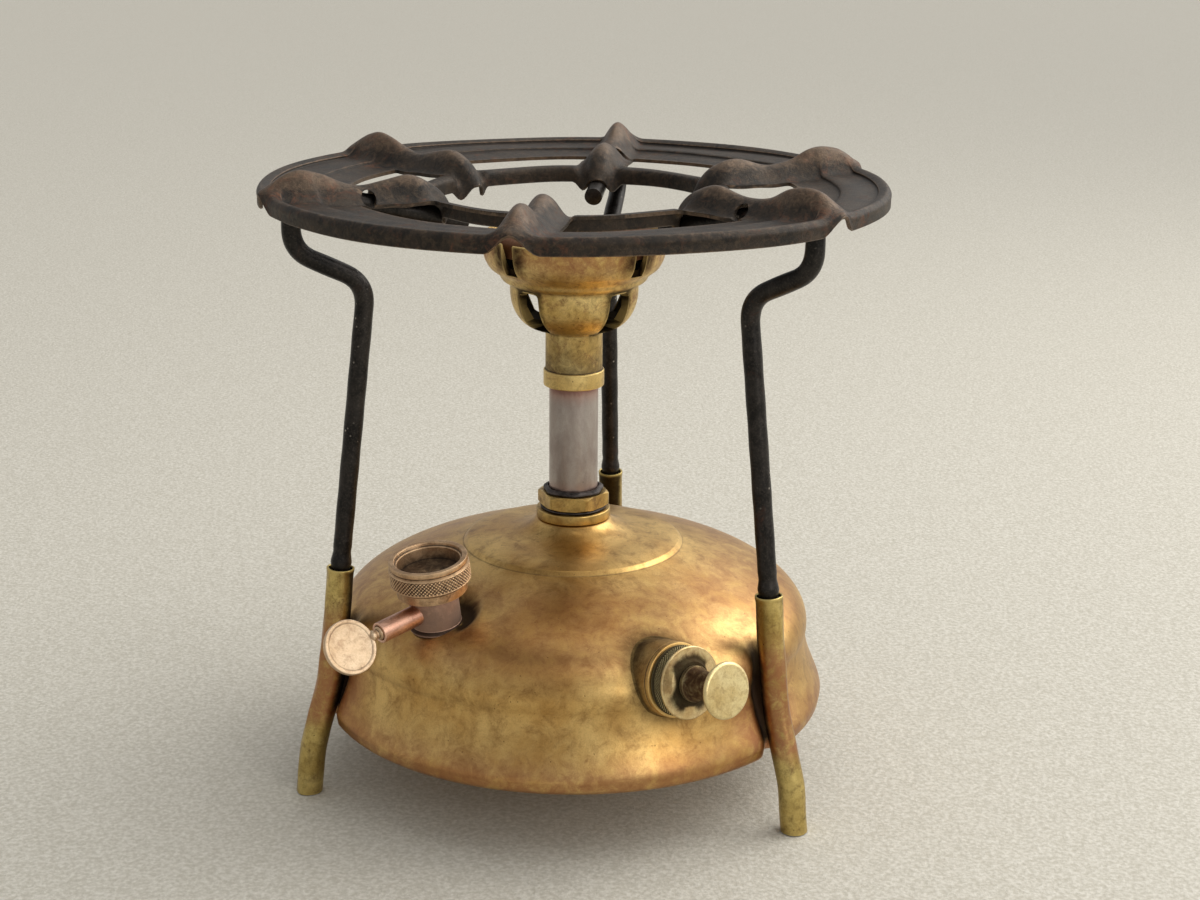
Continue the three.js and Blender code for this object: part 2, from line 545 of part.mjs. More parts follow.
const bodyInside = [
  [CUP_RADIUS - 1.6, CUP_TOP], [CUP_RADIUS - 2.2, CUP_BOTTOM + 12.4], [CUP_RADIUS - 4.8, CUP_BOTTOM + 7.6],
  [CAGE_RADIUS, CUP_BOTTOM + 5], [MIXER_BORE, CUP_BOTTOM + 4], [MIXER_BORE, CUP_BOTTOM + 1.4],
  [CAGE_RADIUS - 3.2, CUP_BOTTOM - 0.6], [CAGE_RADIUS - 3.4, CUP_BOTTOM - 5.5],
  [CAGE_RADIUS - 6.5, cageFloor + 2], [JET_STEM + 4, cageFloor], [JET_STEM + GAP, cageFloor],
  [JET_STEM + GAP, RISER_TOP + GAP], [RISER_FIT, RISER_TOP + GAP], [RISER_FIT, SLEEVE_BOTTOM],
];
const windows = [];
for (let k = 0; k < WINDOW_COUNT; k += 1) {
  const turn = rad(45 + (k * 360) / WINDOW_COUNT);
  windows.push(new THREE.BoxGeometry(16, WINDOW_WIDTH, WINDOW_HEIGHT)
    .translate(SLEEVE_RADIUS + 9, 0, (CAGE_BOTTOM + CUP_BOTTOM) / 2 + 0.4).rotateZ(turn));
  windows.push(new THREE.BoxGeometry(8, NOTCH_WIDTH, 2 * NOTCH_DEPTH)
    .translate(CUP_RADIUS, 0, CUP_TOP).rotateZ(turn));
}
add('burner_body', cut(turnedRing([...bodyOutside, ...bodyInside], 32), ...windows), finish.yellowBrass);

const jetSeat = cageFloor + GAP;
add('jet_nipple', turned([
  [0, RISER_TOP + 2], [JET_STEM, RISER_TOP + 2], [JET_STEM, jetSeat], [4.6, jetSeat],
  [4.6, jetSeat + 2.4], [2.2, jetSeat + 3.2], [1.2, jetSeat + 5.4], [0, jetSeat + 5.4],
], 16), finish.paleBrass);

const cupFloor = CUP_BOTTOM + 4;
add('burner_inner_cap', turnedRing([
  [MIXER_BORE - 1.5, CUP_BOTTOM + 2], [MIXER_BORE - GAP, CUP_BOTTOM + 2], [MIXER_BORE - GAP, cupFloor + GAP],
  [14, cupFloor + 1.6], [19.5, cupFloor + 3.4], [19.5, cupFloor + 6.5], [18.5, cupFloor + 6.5],
  [18.5, cupFloor + 4.2], [MIXER_BORE - 1.5, cupFloor + 1.6],
]), finish.riserSteel);

const capSkirt = CUP_RADIUS - 2.2 - 0.8;
add('burner_outer_cap', turned([
  [0, CUP_TOP + 2.4], [14, CUP_TOP + 1.6], [capSkirt - 2, CUP_TOP - 1.2], [capSkirt - 1.2, CUP_TOP - 5.4],
  [capSkirt, CUP_TOP - 5.4], [capSkirt, CUP_TOP - 0.8], [capSkirt - 1.6, CUP_TOP + 0.4],
  [14, CUP_TOP + 2.8], [0, CUP_TOP + 3.6],
]), finish.rosyBrass);

// ---- filler ---------------------------------------------------------------------------------
// The neck carries a side arm for the air screw, bored through into the neck.
const sideways = (geometry) => geometry.rotateY(Math.PI / 2).rotateZ(rad(ARM_ANGLE))
  .translate(0, 0, ARM_HEIGHT);
const neckBlank = solid(rodAlong(NECK_BODY, -5, NECK_SHOULDER, 24))
  .add(solid(rodAlong(NECK_OUTER, NECK_SHOULDER - 1, NECK_TOP, 24)))
  .add(solid(sideways(rodAlong(ARM_RADIUS, 2, ARM_LENGTH, 16))))
  .subtract(solid(rodAlong(NECK_BORE, -6, NECK_TOP + 1, 24)))
  .subtract(solid(sideways(rodAlong(SCREW_RADIUS + GAP, 0, ARM_LENGTH + 1, 12))));
add('filler_neck', toGeometry(neckBlank), finish.rosyBrass, filler);

const capBore = NECK_OUTER + GAP;
const capTop = CAP_BOTTOM + CAP_HEIGHT;
const capRoof = NECK_TOP + 1.6;
add('filler_cap', turned([
  [0, capRoof], [capBore, capRoof], [capBore, CAP_BOTTOM], [CAP_RADIUS - 1.6, CAP_BOTTOM],
  [CAP_RADIUS - 1.6, CAP_BOTTOM + 3.6], [CAP_RADIUS, CAP_BOTTOM + 3.6], [CAP_RADIUS, capTop - 2],
  [CAP_RADIUS - 0.7, capTop - 1.8], [CAP_RADIUS - 0.7, capTop], [CAP_RADIUS - 2, capTop],
  [CAP_RADIUS - 2.4, capRoof + 1.8], [0, capRoof + 1.2],
]), finish.rosyBrass, filler);
const sealWasher = bush(NECK_OUTER - GAP, NECK_BORE, NECK_TOP + GAP, capRoof - GAP, 24);
add('filler_cap_washer', sealWasher, finish.rubber, filler);

const thumb = rodAlong(THUMB_RADIUS, -THUMB_THICKNESS / 2, THUMB_THICKNESS / 2, 24)
  .rotateX(rad(90 - THUMB_TURN)).translate(THUMB_CENTRE, 0, 0);
const stem = rodAlong(SCREW_RADIUS, NECK_BODY + 1, THUMB_CENTRE - THUMB_RADIUS + 1, 12).rotateY(Math.PI / 2);
const airScrew = toGeometry(solid(stem).add(solid(thumb))).rotateZ(rad(ARM_ANGLE))
  .translate(0, 0, ARM_HEIGHT);
add('air_screw', airScrew, finish.paleBrass, filler);

// ---- pump -----------------------------------------------------------------------------------
const barrelTop = -PUMP_CAP_WALL - GAP;
const barrelEnd = barrelTop - BARREL_LENGTH;
const barrelFloor = barrelEnd + BARREL_FLOOR;
add('pump_barrel', turnedRing([
  [VALVE_STEM + GAP, barrelEnd], [BARREL_OUTER, barrelEnd], [BARREL_OUTER, barrelTop],
  [BARREL_BORE, barrelTop], [BARREL_BORE, barrelFloor], [VALVE_STEM + GAP, barrelFloor],
], 28), finish.yellowBrass, pump);

const rodBore = PUMP_ROD + GAP;
const capInside = BARREL_OUTER + GAP;
add('pump_cap', turnedRing([
  [rodBore, -PUMP_CAP_WALL], [capInside, -PUMP_CAP_WALL], [capInside, -PUMP_CAP_LENGTH],
  [PUMP_CAP_RADIUS - 0.5, -PUMP_CAP_LENGTH], [PUMP_CAP_RADIUS - 0.5, -1.2], [PUMP_CAP_RADIUS, -1.2],
  [PUMP_CAP_RADIUS, 0], [SHANK_BASE + 1.2, 0], [SHANK_BASE + 0.6, 0.8], [rodBore, 0.8],
]), finish.paleBrass, pump);

// The flange stands on the tank, so its inner face follows the tank's skin.
const flangeTop = -PUMP_CAP_LENGTH - GAP;
const flangeBlank = bush(FLANGE_RADIUS, capInside, flangeTop - FLANGE_LENGTH - 4, flangeTop, 28)
  .applyMatrix4(pump.matrixWorld);
const tankCore = [...offset(shellOutline, GAP), [0, TANK_TOP], [0, TANK_BOTTOM]];
const skin = pressed(tankLathe(tankCore), () => 0);
add('pump_flange', cut(flangeBlank, skin), finish.agedBrass);

const shankBottom = 0.8 + GAP;
add('pump_knob', turned([
  [0, 9], [rodBore, 9], [rodBore, shankBottom], [SHANK_BASE, shankBottom], [SHANK_BASE, shankBottom + 3],
  [SHANK_NECK, shankBottom + 9], [SHANK_NECK, KNOB_LENGTH - KNOB_DISC - 1],
  [SHANK_NECK + 1.4, KNOB_LENGTH - KNOB_DISC], [KNOB_RADIUS, KNOB_LENGTH - KNOB_DISC],
  [KNOB_RADIUS, KNOB_LENGTH], [0, KNOB_LENGTH],
]), finish.paleBrass, pump);

const rodEnd = barrelFloor + 1.5 + GAP + 1.6;
add('pump_rod', rodAlong(PUMP_ROD, rodEnd, 9 - GAP), finish.riserSteel, pump);
const pistonNutTop = rodEnd + 2.6;
const nutHole = rodAlong(rodBore, rodEnd, pistonNutTop + 1);
const pistonNut = cut(rodAlong(4.2, rodEnd + 0.4, pistonNutTop, 6), nutHole);
add('pump_piston_nut', pistonNut, finish.yellowBrass, pump);
const leatherLow = pistonNutTop + GAP;
const leatherRadius = BARREL_BORE - GAP;
add('pump_leather', turnedRing([
  [rodBore, leatherLow], [leatherRadius - 1.4, leatherLow], [leatherRadius - 1.4, leatherLow - 3.5],
  [leatherRadius, leatherLow - 3.5], [leatherRadius, leatherLow + 1.4], [rodBore, leatherLow + 1.4],
]), finish.leather, pump);
const plateLow = leatherLow + 1.4 + GAP;
const pistonPlate = bush(BARREL_BORE - 1.2, rodBore, plateLow, plateLow + 1.2, 24);
add('pump_piston_plate', pistonPlate, finish.yellowBrass, pump);

// The check valve at the barrel's inner end lets air into the tank and holds the paraffin back.
const valveTop = barrelFloor + GAP + 1.5;
const valveEnd = valveTop - VALVE_LENGTH;
add('check_valve_body', turnedRing([
  [0.8, valveEnd], [VALVE_STEM, valveEnd], [VALVE_STEM, barrelFloor + GAP], [VALVE_FLANGE, barrelFloor + GAP],
  [VALVE_FLANGE, valveTop], [VALVE_BORE, valveTop], [VALVE_BORE, valveEnd + 1.5], [0.8, valveEnd + 1.5],
], 20), finish.yellowBrass, pump);
const seatLow = valveTop - 2.6;
add('check_valve_seat', bush(VALVE_BORE - GAP, 0.9, seatLow, valveTop - 0.2, 16), finish.yellowBrass, pump);
const pipTop = seatLow - GAP;
add('check_valve_pip', rodAlong(PIP_RADIUS, pipTop - 1.8, pipTop), finish.rubber, pump);

class SpringCurve extends THREE.Curve {
  constructor(radius, low, high, turns) {
    super();
    Object.assign(this, { radius, low, high, turns });
  }

  getPoint(t, target = new THREE.Vector3()) {
    const angle = 2 * Math.PI * this.turns * t;
    return target.set(this.radius * Math.cos(angle), this.radius * Math.sin(angle),
      THREE.MathUtils.lerp(this.low, this.high, t));
  }
}
const springPath = new SpringCurve(2.2, valveEnd + 1.5 + GAP + 0.35, pipTop - 1.8 - GAP - 0.35, 5);
add('check_valve_spring', swept(springPath, 0.35, 0, 2, 40), finish.riserSteel, pump);

export default stove;
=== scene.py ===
"""Looks of a pressurised paraffin camping stove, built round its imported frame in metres, +Z up.

Shapes are worked out in millimetres and put into meshes in metres. The origin is on the ground,
on the axis of the tank and the burner."""

import math

import bmesh
import bpy
import numpy as np
from mathutils import Matrix, Vector


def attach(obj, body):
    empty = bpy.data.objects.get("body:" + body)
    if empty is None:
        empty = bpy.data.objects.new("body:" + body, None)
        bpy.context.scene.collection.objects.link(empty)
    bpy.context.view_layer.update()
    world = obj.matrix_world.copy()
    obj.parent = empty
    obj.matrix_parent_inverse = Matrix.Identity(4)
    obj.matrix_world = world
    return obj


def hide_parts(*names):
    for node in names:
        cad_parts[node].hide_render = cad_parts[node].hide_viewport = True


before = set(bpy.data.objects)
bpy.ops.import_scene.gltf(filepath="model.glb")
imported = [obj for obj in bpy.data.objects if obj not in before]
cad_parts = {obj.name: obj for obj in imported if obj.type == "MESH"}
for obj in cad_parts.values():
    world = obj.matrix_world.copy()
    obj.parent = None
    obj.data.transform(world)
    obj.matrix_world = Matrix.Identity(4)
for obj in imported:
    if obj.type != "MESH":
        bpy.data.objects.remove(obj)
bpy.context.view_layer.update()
scene = bpy.context.scene

# ---- Camera and studio -----------------------------------
# A long lens looks slightly down on the stove from the front. A flat pale card is under it,
# with a window-like light at the right, a weaker one at the front right and a broad sun from the right.
CAMERA_PLACE = Vector((0, -0.6641, 0.3129))
CAMERA_PITCH, CAMERA_YAW, CAMERA_ROLL = (math.radians(a) for a in (16.69, 0.795, 0.487))
LENS_MM, SENSOR_MM = 59.78, 36
FLOOR_HALF, FLOOR_SINK = 30, 0.0004

forward = Vector((math.sin(CAMERA_YAW) * math.cos(CAMERA_PITCH),
                  math.cos(CAMERA_YAW) * math.cos(CAMERA_PITCH), -math.sin(CAMERA_PITCH)))
level = Vector((math.cos(CAMERA_YAW), -math.sin(CAMERA_YAW), 0))
upright = level.cross(forward)
side = level * math.cos(CAMERA_ROLL) + upright * math.sin(CAMERA_ROLL)
top = upright * math.cos(CAMERA_ROLL) - level * math.sin(CAMERA_ROLL)
camera = bpy.data.objects.new("camera", bpy.data.cameras.new("camera"))
camera.matrix_world = Matrix.Translation(CAMERA_PLACE) @ Matrix((side, top, -forward)).transposed().to_4x4()
camera.data.lens, camera.data.sensor_width = LENS_MM, SENSOR_MM
camera.data.clip_end = 100
scene.collection.objects.link(camera)
scene.camera = camera
scene.view_settings.view_transform = "Standard"


def linear(red, green, blue):
    """A display colour of 0 to 255 as the linear colour that a shader takes."""
    share = np.array((red, green, blue)) / 255
    return (*np.where(share <= 0.04045, share / 12.92, ((share + 0.055) / 1.055) ** 2.4), 1)


class Wire:
    """A shader socket that takes part in Python arithmetic: each operation adds its Math node."""

    def __init__(self, finish, socket):
        self.finish, self.socket = finish, socket

    def math(self, operation, first, second):
        return self.finish.node("ShaderNodeMath", {"operation": operation}, {0: first, 1: second})

    def __add__(self, other):
        return self.math("ADD", self, other)

    def __sub__(self, other):
        return self.math("SUBTRACT", self, other)

    def __rsub__(self, other):
        return self.math("SUBTRACT", other, self)

    def __mul__(self, other):
        return self.math("MULTIPLY", self, other)

    __radd__, __rmul__ = __add__, __mul__

    def most(self, other):
        return self.math("MAXIMUM", self, other)

    def between(self, low, high):
        """0 below low, 1 above high and a smooth rise from one to the other."""
        return self.finish.node("ShaderNodeMapRange", {"interpolation_type": "SMOOTHSTEP"},
                                {"Value": self, "From Min": low, "From Max": high})


class Finish:
    """One material: its Principled shader and the nodes that feed it."""

    def __init__(self, name):
        self.material = bpy.data.materials.new(name)
        self.material.use_nodes = True
        self.tree = self.material.node_tree
        self.shader = self.tree.nodes["Principled BSDF"]
        self.place = self.node("ShaderNodeVectorMath", {"operation": "SCALE"},
                               {0: self.node("ShaderNodeTexCoord", {}, {}, "Object"), "Scale": 1000})

    def node(self, kind, settings, inputs, output=0):
        """Adds a node: its settings first, then the values or links of its sockets."""
        made = self.tree.nodes.new(kind)
        for name, value in settings.items():
            setattr(made, name, value)
        for name, value in inputs.items():
            if isinstance(value, Wire):
                self.tree.links.new(value.socket, made.inputs[name])
            else:
                made.inputs[name].default_value = value
        return Wire(self, made.outputs[output])

    def noise(self, size, detail=4, rough=0.6, warp=0.0, stretch=(1, 1, 1), shift=0.0):
        """Cloudy noise of 0 to 1 with features of about a size in mm, longer along a stretched axis."""
        scale = tuple(1 / (size * s) for s in stretch)
        place = self.node("ShaderNodeMapping", {}, {"Vector": self.place, "Scale": scale,
                                                    "Location": (shift, shift * 0.7, -shift)})
        return self.node("ShaderNodeTexNoise", {}, {"Vector": place, "Scale": 1, "Detail": detail,
                                                    "Roughness": rough, "Distortion": warp})

    def cells(self, size):
        """Distance to the nearest of scattered points about a size in mm apart, in cells."""
        place = self.node("ShaderNodeVectorMath", {"operation": "SCALE"}, {0: self.place, "Scale": 1 / size})
        return self.node("ShaderNodeTexVoronoi", {}, {"Vector": place, "Scale": 1})

    def mark(self, name):
        """A mark that was worked out for each point of the piece."""
        return self.node("ShaderNodeAttribute", {"attribute_name": name}, {}, "Fac")

    def layered(self, colour, *layers):
        """Display colours of 0 to 255 laid over the first in turn, each by a share of 0 to 1."""
        for share, over in layers:
            under = linear(*colour) if isinstance(colour, tuple) else colour
            colour = self.node("ShaderNodeMix", {"data_type": "RGBA"}, {0: share, 6: under, 7: linear(*over)},
                               2)
        return colour

    def surface(self, colour, roughness, metallic, height=None, depth=0.1):
        """Links what varies to the shader; height is bumped over a depth in mm."""
        for name, value in (("Base Color", colour), ("Roughness", roughness), ("Metallic", metallic)):
            if isinstance(value, Wire):
                self.tree.links.new(value.socket, self.shader.inputs[name])
            else:
                self.shader.inputs[name].default_value = value
        if height is not None:
            bump = self.node("ShaderNodeBump", {}, {"Strength": 1, "Distance": depth / 1000,
                                                    "Height": height})
            self.tree.links.new(bump.socket, self.shader.inputs["Normal"])
        return self.material


card = Finish("pale_card")
card_grain = card.noise(1.6, 3, 0.7)
card_colour = card.layered((176, 172, 160), (card_grain.between(0.3, 0.75), (206, 203, 194)))
card_material = card.surface(card_colour, 0.82, 0.0, card_grain, 0.35)
floor_mesh = bpy.data.meshes.new("floor")
floor_mesh.from_pydata([(x * FLOOR_HALF, y * FLOOR_HALF, -FLOOR_SINK) for x, y in
                        ((-1, -1), (1, -1), (1, 1), (-1, 1))], [], [(0, 1, 2, 3)])
floor_mesh.materials.append(card_material)
floor = bpy.data.objects.new("floor", floor_mesh)
scene.collection.objects.link(floor)

world = bpy.data.worlds.new("studio")
world.use_nodes = True
scene.world = world
sky = world.node_tree.nodes["Background"]
sky.inputs["Color"].default_value = (1.0, 0.99, 0.97, 1)
sky.inputs["Strength"].default_value = 0.5


def lamp(name, place, aim, width, height, power, colour):
    """A rectangular soft light that faces a point."""
    light = bpy.data.lights.new(name, "AREA")
    light.shape, light.size, light.size_y = "RECTANGLE", width, height
    light.energy, light.color = power, colour
    holder = bpy.data.objects.new(name, light)
    turn = (Vector(aim) - Vector(place)).to_track_quat("-Z", "Y").to_matrix().to_4x4()
    holder.matrix_world = Matrix.Translation(place) @ turn
    scene.collection.objects.link(holder)


STOVE_MIDDLE = (0, 0, 0.08)
lamp("window", (0.95, 0.3, 0.85), STOVE_MIDDLE, 0.9, 0.9, 7.5, (1.0, 0.97, 0.91))
lamp("front_card", (0.75, -1.0, 0.5), STOVE_MIDDLE, 0.5, 0.4, 3.0, (1.0, 0.97, 0.92))
daylight = bpy.data.lights.new("daylight", "SUN")
daylight.energy, daylight.angle, daylight.color = 2.0, math.radians(95), (1.0, 0.975, 0.93)
sun = bpy.data.objects.new("daylight", daylight)
sun.matrix_world = Vector((1.0, 0.35, 1.25)).to_track_quat("Z", "Y").to_matrix().to_4x4()
scene.collection.objects.link(sun)

# ---- Tank shell ------------------------------------------
# Drawn brass shell, one millimetre thick: a flared lip, a hollow upright wall, a low shoulder and a
# raised boss. Three flutes hold the legs, and a pocket is pressed round the filler neck.
LEG_ANGLES = {"back": 80, "left": 200, "right": 320}
TANK_RADIUS, TANK_TOP, TANK_WALL = 88.6, 89.7, 1.0
SOCKET_HOLE, NECK_HOLE, BARREL_HOLE = 10.25, 8.5, 9.8
FLUTE_DEPTH, FLUTE_HALF_WIDTH, FLUTE_TOP = 4.0, 7.5, 66.0
FILLER_ANGLE, FILLER_RADIUS, FILLER_FLOOR, FILLER_TILT = 228, 67.0, 69.3, 8.8
POCKET_FLAT, POCKET_RADIUS = 10.5, 17.0
TANK_COLUMNS = 450
POCKET_CLIMB, POCKET_BLEND = 10, 1.4


def bezier(corners, count):
    """Points of the cubic curve on four corners, from the first to the last."""
    t = np.linspace(0, 1, count + 1)[:, None]
    a, b, c, d = np.array(corners, float)
    return (1 - t) ** 3 * a + 3 * t * (1 - t) ** 2 * b + 3 * t ** 2 * (1 - t) * c + t ** 3 * d


def eased(outline, radius=0.3, steps=3):
    """An outline with each inner corner cut back by a radius, or 0.4 of its shorter side, and rounded."""
    p = np.array(outline, float)
    back, ahead = p[:-2] - p[1:-1], p[2:] - p[1:-1]
    near, far = np.linalg.norm(back, axis=1), np.linalg.norm(ahead, axis=1)
    cut = np.minimum(radius, 0.4 * np.minimum(near, far))
    start = p[1:-1] + back * (cut / near)[:, None]
    end = p[1:-1] + ahead * (cut / far)[:, None]
    t = np.linspace(0, 1, steps + 1)[:, None, None]
    arcs = (1 - t) ** 2 * start + 2 * t * (1 - t) * p[1:-1] + t ** 2 * end
    return np.concatenate([p[:1], arcs.transpose(1, 0, 2).reshape(-1, 2), p[-1:]])


def eased_loop(outline, radius=0.3, steps=3):
    """The same for a closed section: it starts at the middle of its first side."""
    p = np.array(outline, float)
    middle = (p[:1] + p[1:2]) / 2
    return eased(np.concatenate([middle, p[1:], p[:1], middle]), radius, steps)[:-1]


def offset(outline, distance):
    """An outline moved sideways by a distance, to its right as it is walked."""
    along = np.gradient(outline, axis=0)
    along /= np.linalg.norm(along, axis=1, keepdims=True)
    return outline + distance * np.stack([along[:, 1], -along[:, 0]], axis=1)


def circle(count):
    """Evenly spaced angles round a full turn."""
    return np.linspace(0, 2 * np.pi, count, endpoint=False)


def polar(radius, angle, height):
    """Points (r cos a, r sin a, h), with xyz last."""
    return np.stack(np.broadcast_arrays(radius * np.cos(angle), radius * np.sin(angle), height), axis=-1)


def spun(outline, columns=96):
    """An outline of (radius, height) turned round Z: a grid of columns by points by xyz."""
    radius, height = np.array(outline).T
    return polar(radius, circle(columns)[:, None], height)


def stood(grid, place, turn, tilt):
    """A grid tilted towards +X, turned round Z and moved to a place."""
    matrix = np.array(Matrix.Rotation(math.radians(turn), 3, "Z") @ Matrix.Rotation(math.radians(tilt), 3,
                                                                                    "Y"))
    return grid @ matrix.T + np.array(place)


def quads(grid, looped):
    """Points and four-sided faces of a grid that closes across, and along too if it is looped."""
    columns, rows = grid.shape[:2]
    index = np.arange(columns * rows).reshape(columns, rows)
    lower = index if looped else index[:, :-1]
    upper = np.roll(index, -1, axis=1) if looped else index[:, 1:]
    faces = np.stack([lower, np.roll(lower, -1, axis=0), np.roll(upper, -1, axis=0), upper],
                     axis=2).reshape(-1, 4)
    points = grid.reshape(-1, 3)
    a, b, c, d = (points[faces[:, k]] for k in range(4))
    volume = np.einsum("ij,ij->i", a, np.cross(b, c)).sum() + np.einsum("ij,ij->i", a, np.cross(c, d)).sum()
    return points, faces if volume > 0 else faces[:, ::-1]


def made(name, *patches, crease=38):
    """Puts grids into one mesh object. A patch is a grid, or a pair of a grid and True if it is looped."""
    points, faces, count = [], [], 0
    for patch in patches:
        grid, looped = patch if isinstance(patch, tuple) else (patch, False)
        patch_points, patch_faces = quads(grid, looped)
        points.append(patch_points)
        faces.append(patch_faces + count)
        count += len(patch_points)
    mesh = bpy.data.meshes.new(name)
    mesh.from_pydata(np.concatenate(points) / 1000, [], np.concatenate(faces))
    piece = bpy.data.objects.new(name, mesh)
    scene.collection.objects.link(piece)
    joined(mesh)
    mesh.shade_smooth()
    mesh.set_sharp_from_angle(angle=math.radians(crease))
    return piece


def joined(mesh):
    """Closes seams and poles by joining the points that lie together."""
    shape = bmesh.new()
    shape.from_mesh(mesh)
    bmesh.ops.remove_doubles(shape, verts=shape.verts, dist=2e-7)
    shape.to_mesh(mesh)
    shape.free()


def pierced(piece, *tools, crease=38):
    """Cuts tool pieces out of a piece and removes them."""
    for tool in tools:
        cut = piece.modifiers.new("cut", "BOOLEAN")
        cut.operation, cut.solver, cut.object = "DIFFERENCE", "MANIFOLD", tool
    bpy.context.view_layer.update()
    result = bpy.data.meshes.new_from_object(piece.evaluated_get(bpy.context.evaluated_depsgraph_get()))
    piece.modifiers.clear()
    piece.data = result
    for tool in tools:
        bpy.data.objects.remove(tool)
    joined(result)
    result.shade_smooth()
    result.set_sharp_from_angle(angle=math.radians(crease))
    return piece


def points_of(piece):
    """The piece's points in mm."""
    place = np.empty(len(piece.data.vertices) * 3, np.float32)
    piece.data.vertices.foreach_get("co", place)
    return place.reshape(-1, 3).astype(float) * 1000


def marked(piece, name, values):
    """Stores a mark of 0 to 1 for each point of a piece, or one value for all of them."""
    mark = piece.data.attributes.new(name, "FLOAT", "POINT")
    values = np.clip(values, 0, 1) + np.zeros(len(piece.data.vertices))
    mark.data.foreach_set("value", values.astype(np.float32))


def worn(piece, radius=0.6):
    """Marks convex edges as "edge" and hollows as "nook": the mean of (neighbour - point) along the
    point's normal over the distance squared, times a radius in mm."""
    mesh, place = piece.data, points_of(piece)
    pairs = np.empty(len(mesh.edges) * 2, np.int32)
    mesh.edges.foreach_get("vertices", pairs)
    a, b = pairs.reshape(-1, 2).T
    normal = np.array([v.vector for v in mesh.vertex_normals])
    step = place[b] - place[a]
    span = (step ** 2).sum(1) + 1e-4
    bend, count = np.zeros(len(place)), np.zeros(len(place))
    np.add.at(bend, a, (step * normal[a]).sum(1) / span)
    np.add.at(bend, b, -(step * normal[b]).sum(1) / span)
    np.add.at(count, a, 1)
    np.add.at(count, b, 1)
    bend = bend / np.maximum(count, 1) * radius
    for _ in range(2):
        total = bend.copy()
        np.add.at(total, a, bend[b])
        np.add.at(total, b, bend[a])
        bend = total / (count + 1)
    marked(piece, "edge", -bend * 2)
    marked(piece, "nook", bend * 2)


def fitted(piece, material, body, slot, *nodes):
    """Gives a piece its material and body, and has it stand for CAD nodes. The slot is not used."""
    piece.data.materials.clear()
    piece.data.materials.append(material)
    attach(piece, body)
    if nodes:
        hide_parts(*nodes)


def clothed(node, material):
    """A CAD node that stays gets a finish in its material slots."""
    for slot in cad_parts[node].material_slots:
        slot.material = material


def fold(share):
    """1 at the middle of a rounded fold and 0 at its feet."""
    return np.where(np.abs(share) < 1, (1 + np.cos(np.pi * np.clip(share, -1, 1))) / 2, 0)


def smooth(value, low, high):
    """0 below low, 1 above high and a smooth rise from one to the other."""
    t = np.clip((value - low) / (high - low), 0, 1)
    return t * t * (3 - 2 * t)


def off_leg(x, y):
    """Angle in radians from the nearest leg."""
    turn = np.degrees(np.arctan2(y, x)) - LEG_ANGLES["back"]
    return np.radians((turn + 60) % 120 - 60)


FILLER_PLACE = (FILLER_RADIUS * math.cos(math.radians(FILLER_ANGLE)),
                FILLER_RADIUS * math.sin(math.radians(FILLER_ANGLE)), FILLER_FLOOR)
PUMP_PLACE, PUMP_TURN, PUMP_TILT = (37.5, -81.8, 61.5), 307, 79
FILLER_AXIS = stood(np.array((0, 0, 1)), (0, 0, 0), FILLER_ANGLE, FILLER_TILT)
PUMP_AXIS = stood(np.array((0, 0, 1)), (0, 0, 0), PUMP_TURN, PUMP_TILT)


def pressed(grid, drop):
    """Presses the flutes inwards by a fold's depth, and lowers the skin to the pocket's floor,
    which climbs as the square of the distance outside its flat part."""
    x, y, z = grid[..., 0], grid[..., 1], grid[..., 2]
    radius, angle = np.hypot(x, y), np.arctan2(y, x)
    sideways = TANK_RADIUS * np.sin(off_leg(x, y))
    below = smooth(FLUTE_TOP - z, -1, 13)
    rim = smooth(radius, 0.79 * TANK_RADIUS, 0.91 * TANK_RADIUS)
    radius = radius - FLUTE_DEPTH * fold(sideways / FLUTE_HALF_WIDTH) * below * rim
    x, y = radius * np.cos(angle), radius * np.sin(angle)
    away = np.hypot(x - FILLER_PLACE[0], y - FILLER_PLACE[1])
    climb = np.maximum(away - POCKET_FLAT, 0) / (POCKET_RADIUS - POCKET_FLAT)
    slope = math.tan(math.radians(FILLER_TILT))
    pocket = FILLER_FLOOR - (radius - FILLER_RADIUS) * slope + POCKET_CLIMB * climb ** 2 - drop
    over = np.clip(0.5 + 0.5 * (pocket - z) / POCKET_BLEND, 0, 1)
    softened = POCKET_BLEND * over * (1 - over) * (np.abs(pocket - z) < POCKET_BLEND)
    return np.stack([x, y, pocket * (1 - over) + z * over - softened], axis=2)


lip = eased([(85.7, 25.0), (87.0, 24.9), (88.0, 26.1), (88.3, 27.3), (88.4, 28.1), (88.55, 28.9),
             (88.6, 29.7)], 0.7, 4)
wall = bezier([(88.5, 30.2), (87.6, 34.2), (83.2, 40.6), (82.4, 50)], 26)
shoulder = bezier([(82.4, 50), (86.6, 65), (64, 74), (38.7, 80.8)], 64)
step_up = eased([(39.6, 80.7), (38.6, 81.0), (37.2, 82.5), (36.2, 82.75)], 0.9, 4)
boss = bezier([(36.2, 82.75), (28, 85.3), (16.9, 84.0), (13.3, 89.4)], 34)
shell_outside = np.concatenate([lip, wall[1:], shoulder[1:-2], step_up[1:-1], boss[1:],
                                [(12.9, 89.7), (SOCKET_HOLE, TANK_TOP)]])
shell_inside = offset(shell_outside[::3], -TANK_WALL)
shell_inside[0] = (84.7, 25.0)
shell_inside[-1] = (SOCKET_HOLE, TANK_TOP - TANK_WALL)
shell_grid = spun(np.concatenate([shell_outside, shell_inside[::-1]]), TANK_COLUMNS)
inside_rows = np.arange(shell_grid.shape[1]) >= len(shell_outside)
tank = made("tank_skin", (pressed(shell_grid, TANK_WALL * inside_rows), True))
neck_drill = spun([(0, -12), (NECK_HOLE, -12), (NECK_HOLE, 12), (0, 12)], 48)
neck_hole = made("neck_hole", stood(neck_drill, FILLER_PLACE, FILLER_ANGLE, FILLER_TILT))
